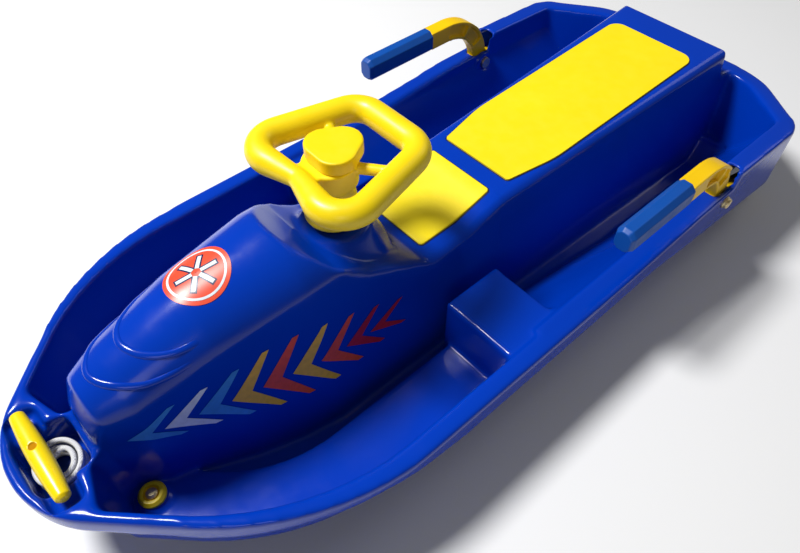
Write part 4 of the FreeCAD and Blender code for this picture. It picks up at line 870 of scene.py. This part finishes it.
# %% Levers and grips
LEVER_PLANE_X, GRIP_BACK_Y = 0.191, 0.161
BROAD_FROM_Z, BROAD_FULL_Z, ARM_SPREAD = 0.145, 0.158, 0.45
ARM_CELL, ARM_ROUNDS, GRIP_CELL, GRIP_ROUNDS = 0.0009, 3, 0.0010, 4


def broaden(arm, middle):
    """Widen the arm above the slot and behind the grip."""
    for vertex in arm.data.vertices:
        if vertex.co.y > GRIP_BACK_Y:
            part = min(1, max(0, (vertex.co.z - BROAD_FROM_Z) / (BROAD_FULL_Z - BROAD_FROM_Z)))
            vertex.co.x = middle + (vertex.co.x - middle) * (1 + ARM_SPREAD * ease(part))


for side, mirror in (("left", 1), ("right", -1)):
    body = f"brake_{side}"
    lever_arm = moulded(f"lever_arm_{side}", [f"brake_lever_{side}"], body, "lever_yellow", ARM_CELL,
                        ARM_ROUNDS)
    broaden(lever_arm, mirror * LEVER_PLANE_X)
    moulded(f"lever_grip_{side}", [f"brake_grip_{side}"], body, "grip_blue", GRIP_CELL, GRIP_ROUNDS)

# %% [markdown]
# ## Pivot nuts
# The nuts on the levers' pivot bolts are round, with a flange. Stacked cylinders would leave hard steps,
# so one profile, in millimetres, is spun once round the bolt's axis.

# %% Pivot nuts
NUT_PROFILE = [(4.2, 0), (7.4, 0), (7.4, 1.6), (6.6, 2.3), (6.2, 4.9), (5.4, 5.8), (4.2, 5.8)]
NUT_SEAT_X, PIVOT_Y, PIVOT_Z = 0.206, 0.26, 0.104
nut_bm = bmesh.new()
for side in (1, -1):
    outline = []
    for radius, height in NUT_PROFILE:
        place = (side * (NUT_SEAT_X + height / 1000), PIVOT_Y + radius / 1000, PIVOT_Z)
        outline.append(nut_bm.verts.new(place))
    edges = [nut_bm.edges.new(pair) for pair in zip(outline, outline[1:] + outline[:1])]
    bmesh.ops.spin(nut_bm, geom=outline + edges, cent=(0, PIVOT_Y, PIVOT_Z), axis=(1, 0, 0),
                   angle=2 * math.pi, steps=40, use_merge=True)
bmesh.ops.recalc_face_normals(nut_bm, faces=nut_bm.faces)
pivot_nuts = piece_from(nut_bm, "pivot_nuts")
set_piece(pivot_nuts, "hull", "zinc_steel", ["brake_nuts"])
print("pivot nut faces:", len(pivot_nuts.data.polygons))

# %% [markdown]
# ## Toggle, cup washers and ski
# The toggle, the cup washers on the bow and the ski under the hull are small mouldings. They could keep
# their CAD meshes with a bevel, but the recipe rounds their curved edges more evenly, with finer cells
# for finer pieces.

# %% Toggle, cup washers and ski
moulded("toggle", ["pull_handle"], "pull_handle", "handle_yellow", 0.0006, 5)
moulded("cup_washers", ["runner_cup_washers"], "hull", "wheel_yellow", 0.0005, 3)
moulded("ski_moulding", ["steering_ski"], "steering", "ski_black", 0.0013, 4)

# %% [markdown]
# ## Rear pad, metal and hidden pieces
# The rear pad, the bolts, rods, claws and bushes are plain shapes, so they keep their CAD meshes. A weld
# joins the loose triangles, a narrow bevel breaks the edges so that they catch the light, and each piece
# takes its finish. The pad's edge is rounder than the metal's.

# %% Finish the CAD nodes
METAL_EDGE = 0.0004
slot_of = {part["node"]: part["material_slot"] for part in frame["record"]["subparts"]}
replaced = {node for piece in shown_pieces() for node in piece.get("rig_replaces", [])}
for name, node in frame["nodes"].items():
    node.data.materials.clear()
    node.data.materials.append(FINISH[slot_of[name]])
    if name in replaced:
        continue
    weld = node.modifiers.new("weld", "WELD")
    weld.merge_threshold = WELD
    edge = node.modifiers.new("edge", "BEVEL")
    edge.width = PAD_EDGE if slot_of[name] == "pad_yellow" else METAL_EDGE
    edge.segments = EDGE_SEGMENTS
    edge.limit_method = "ANGLE"
    edge.angle_limit = EDGE_ANGLE
    edge.harden_normals = True
print("CAD nodes in view:", len(frame["nodes"]) - len(replaced))

# %% [markdown]
# ## Floor and light
# A pale floor takes the sled's shadow. Many lamps would wash the gloss out, so one lamp, high over the
# far front corner, does nearly all the work. Two weak ones and a faint white world lift the shadows. The
# level is plain, so that a colour renders about as it is written.

# %% Floor
FLOOR_HALF = 6.0
floor_bm = bmesh.new()
bmesh.ops.create_grid(floor_bm, x_segments=1, y_segments=1, size=FLOOR_HALF)
floor = piece_from(floor_bm, "floor")
floor_paint, _, floor_shader, _ = new_finish("floor_pale")
floor_shader.inputs["Base Color"].default_value = (0.86, 0.86, 0.86, 1)
floor_shader.inputs["Roughness"].default_value = 0.9
floor.data.materials.append(floor_paint)
print("floor laid")


# %% Lamps
def lamp(name, place, aim, size, power):
    light = bpy.data.lights.new(name, "AREA")
    light.shape = "DISK"
    light.size = size
    light.energy = power
    holder = bpy.data.objects.new(name, light)
    holder.location = place
    holder.rotation_euler = (Vector(aim) - Vector(place)).to_track_quat("-Z", "Y").to_euler()
    scene.collection.objects.link(holder)


MIDDLE = (0, 0, 0.1)
lamp("key", (-1.05, -0.85, 2.45), MIDDLE, 0.7, 92)
lamp("front_fill", (1.6, -1.7, 1.2), MIDDLE, 1.0, 5)
lamp("back_fill", (0.4, 2.0, 1.6), MIDDLE, 1.0, 4)
world = bpy.data.worlds.new("sky")
scene.world = world
world.use_nodes = True
world.node_tree.nodes["Background"].inputs["Color"].default_value = (1, 1, 1, 1)
world.node_tree.nodes["Background"].inputs["Strength"].default_value = 0.09
print("lamps and world set")
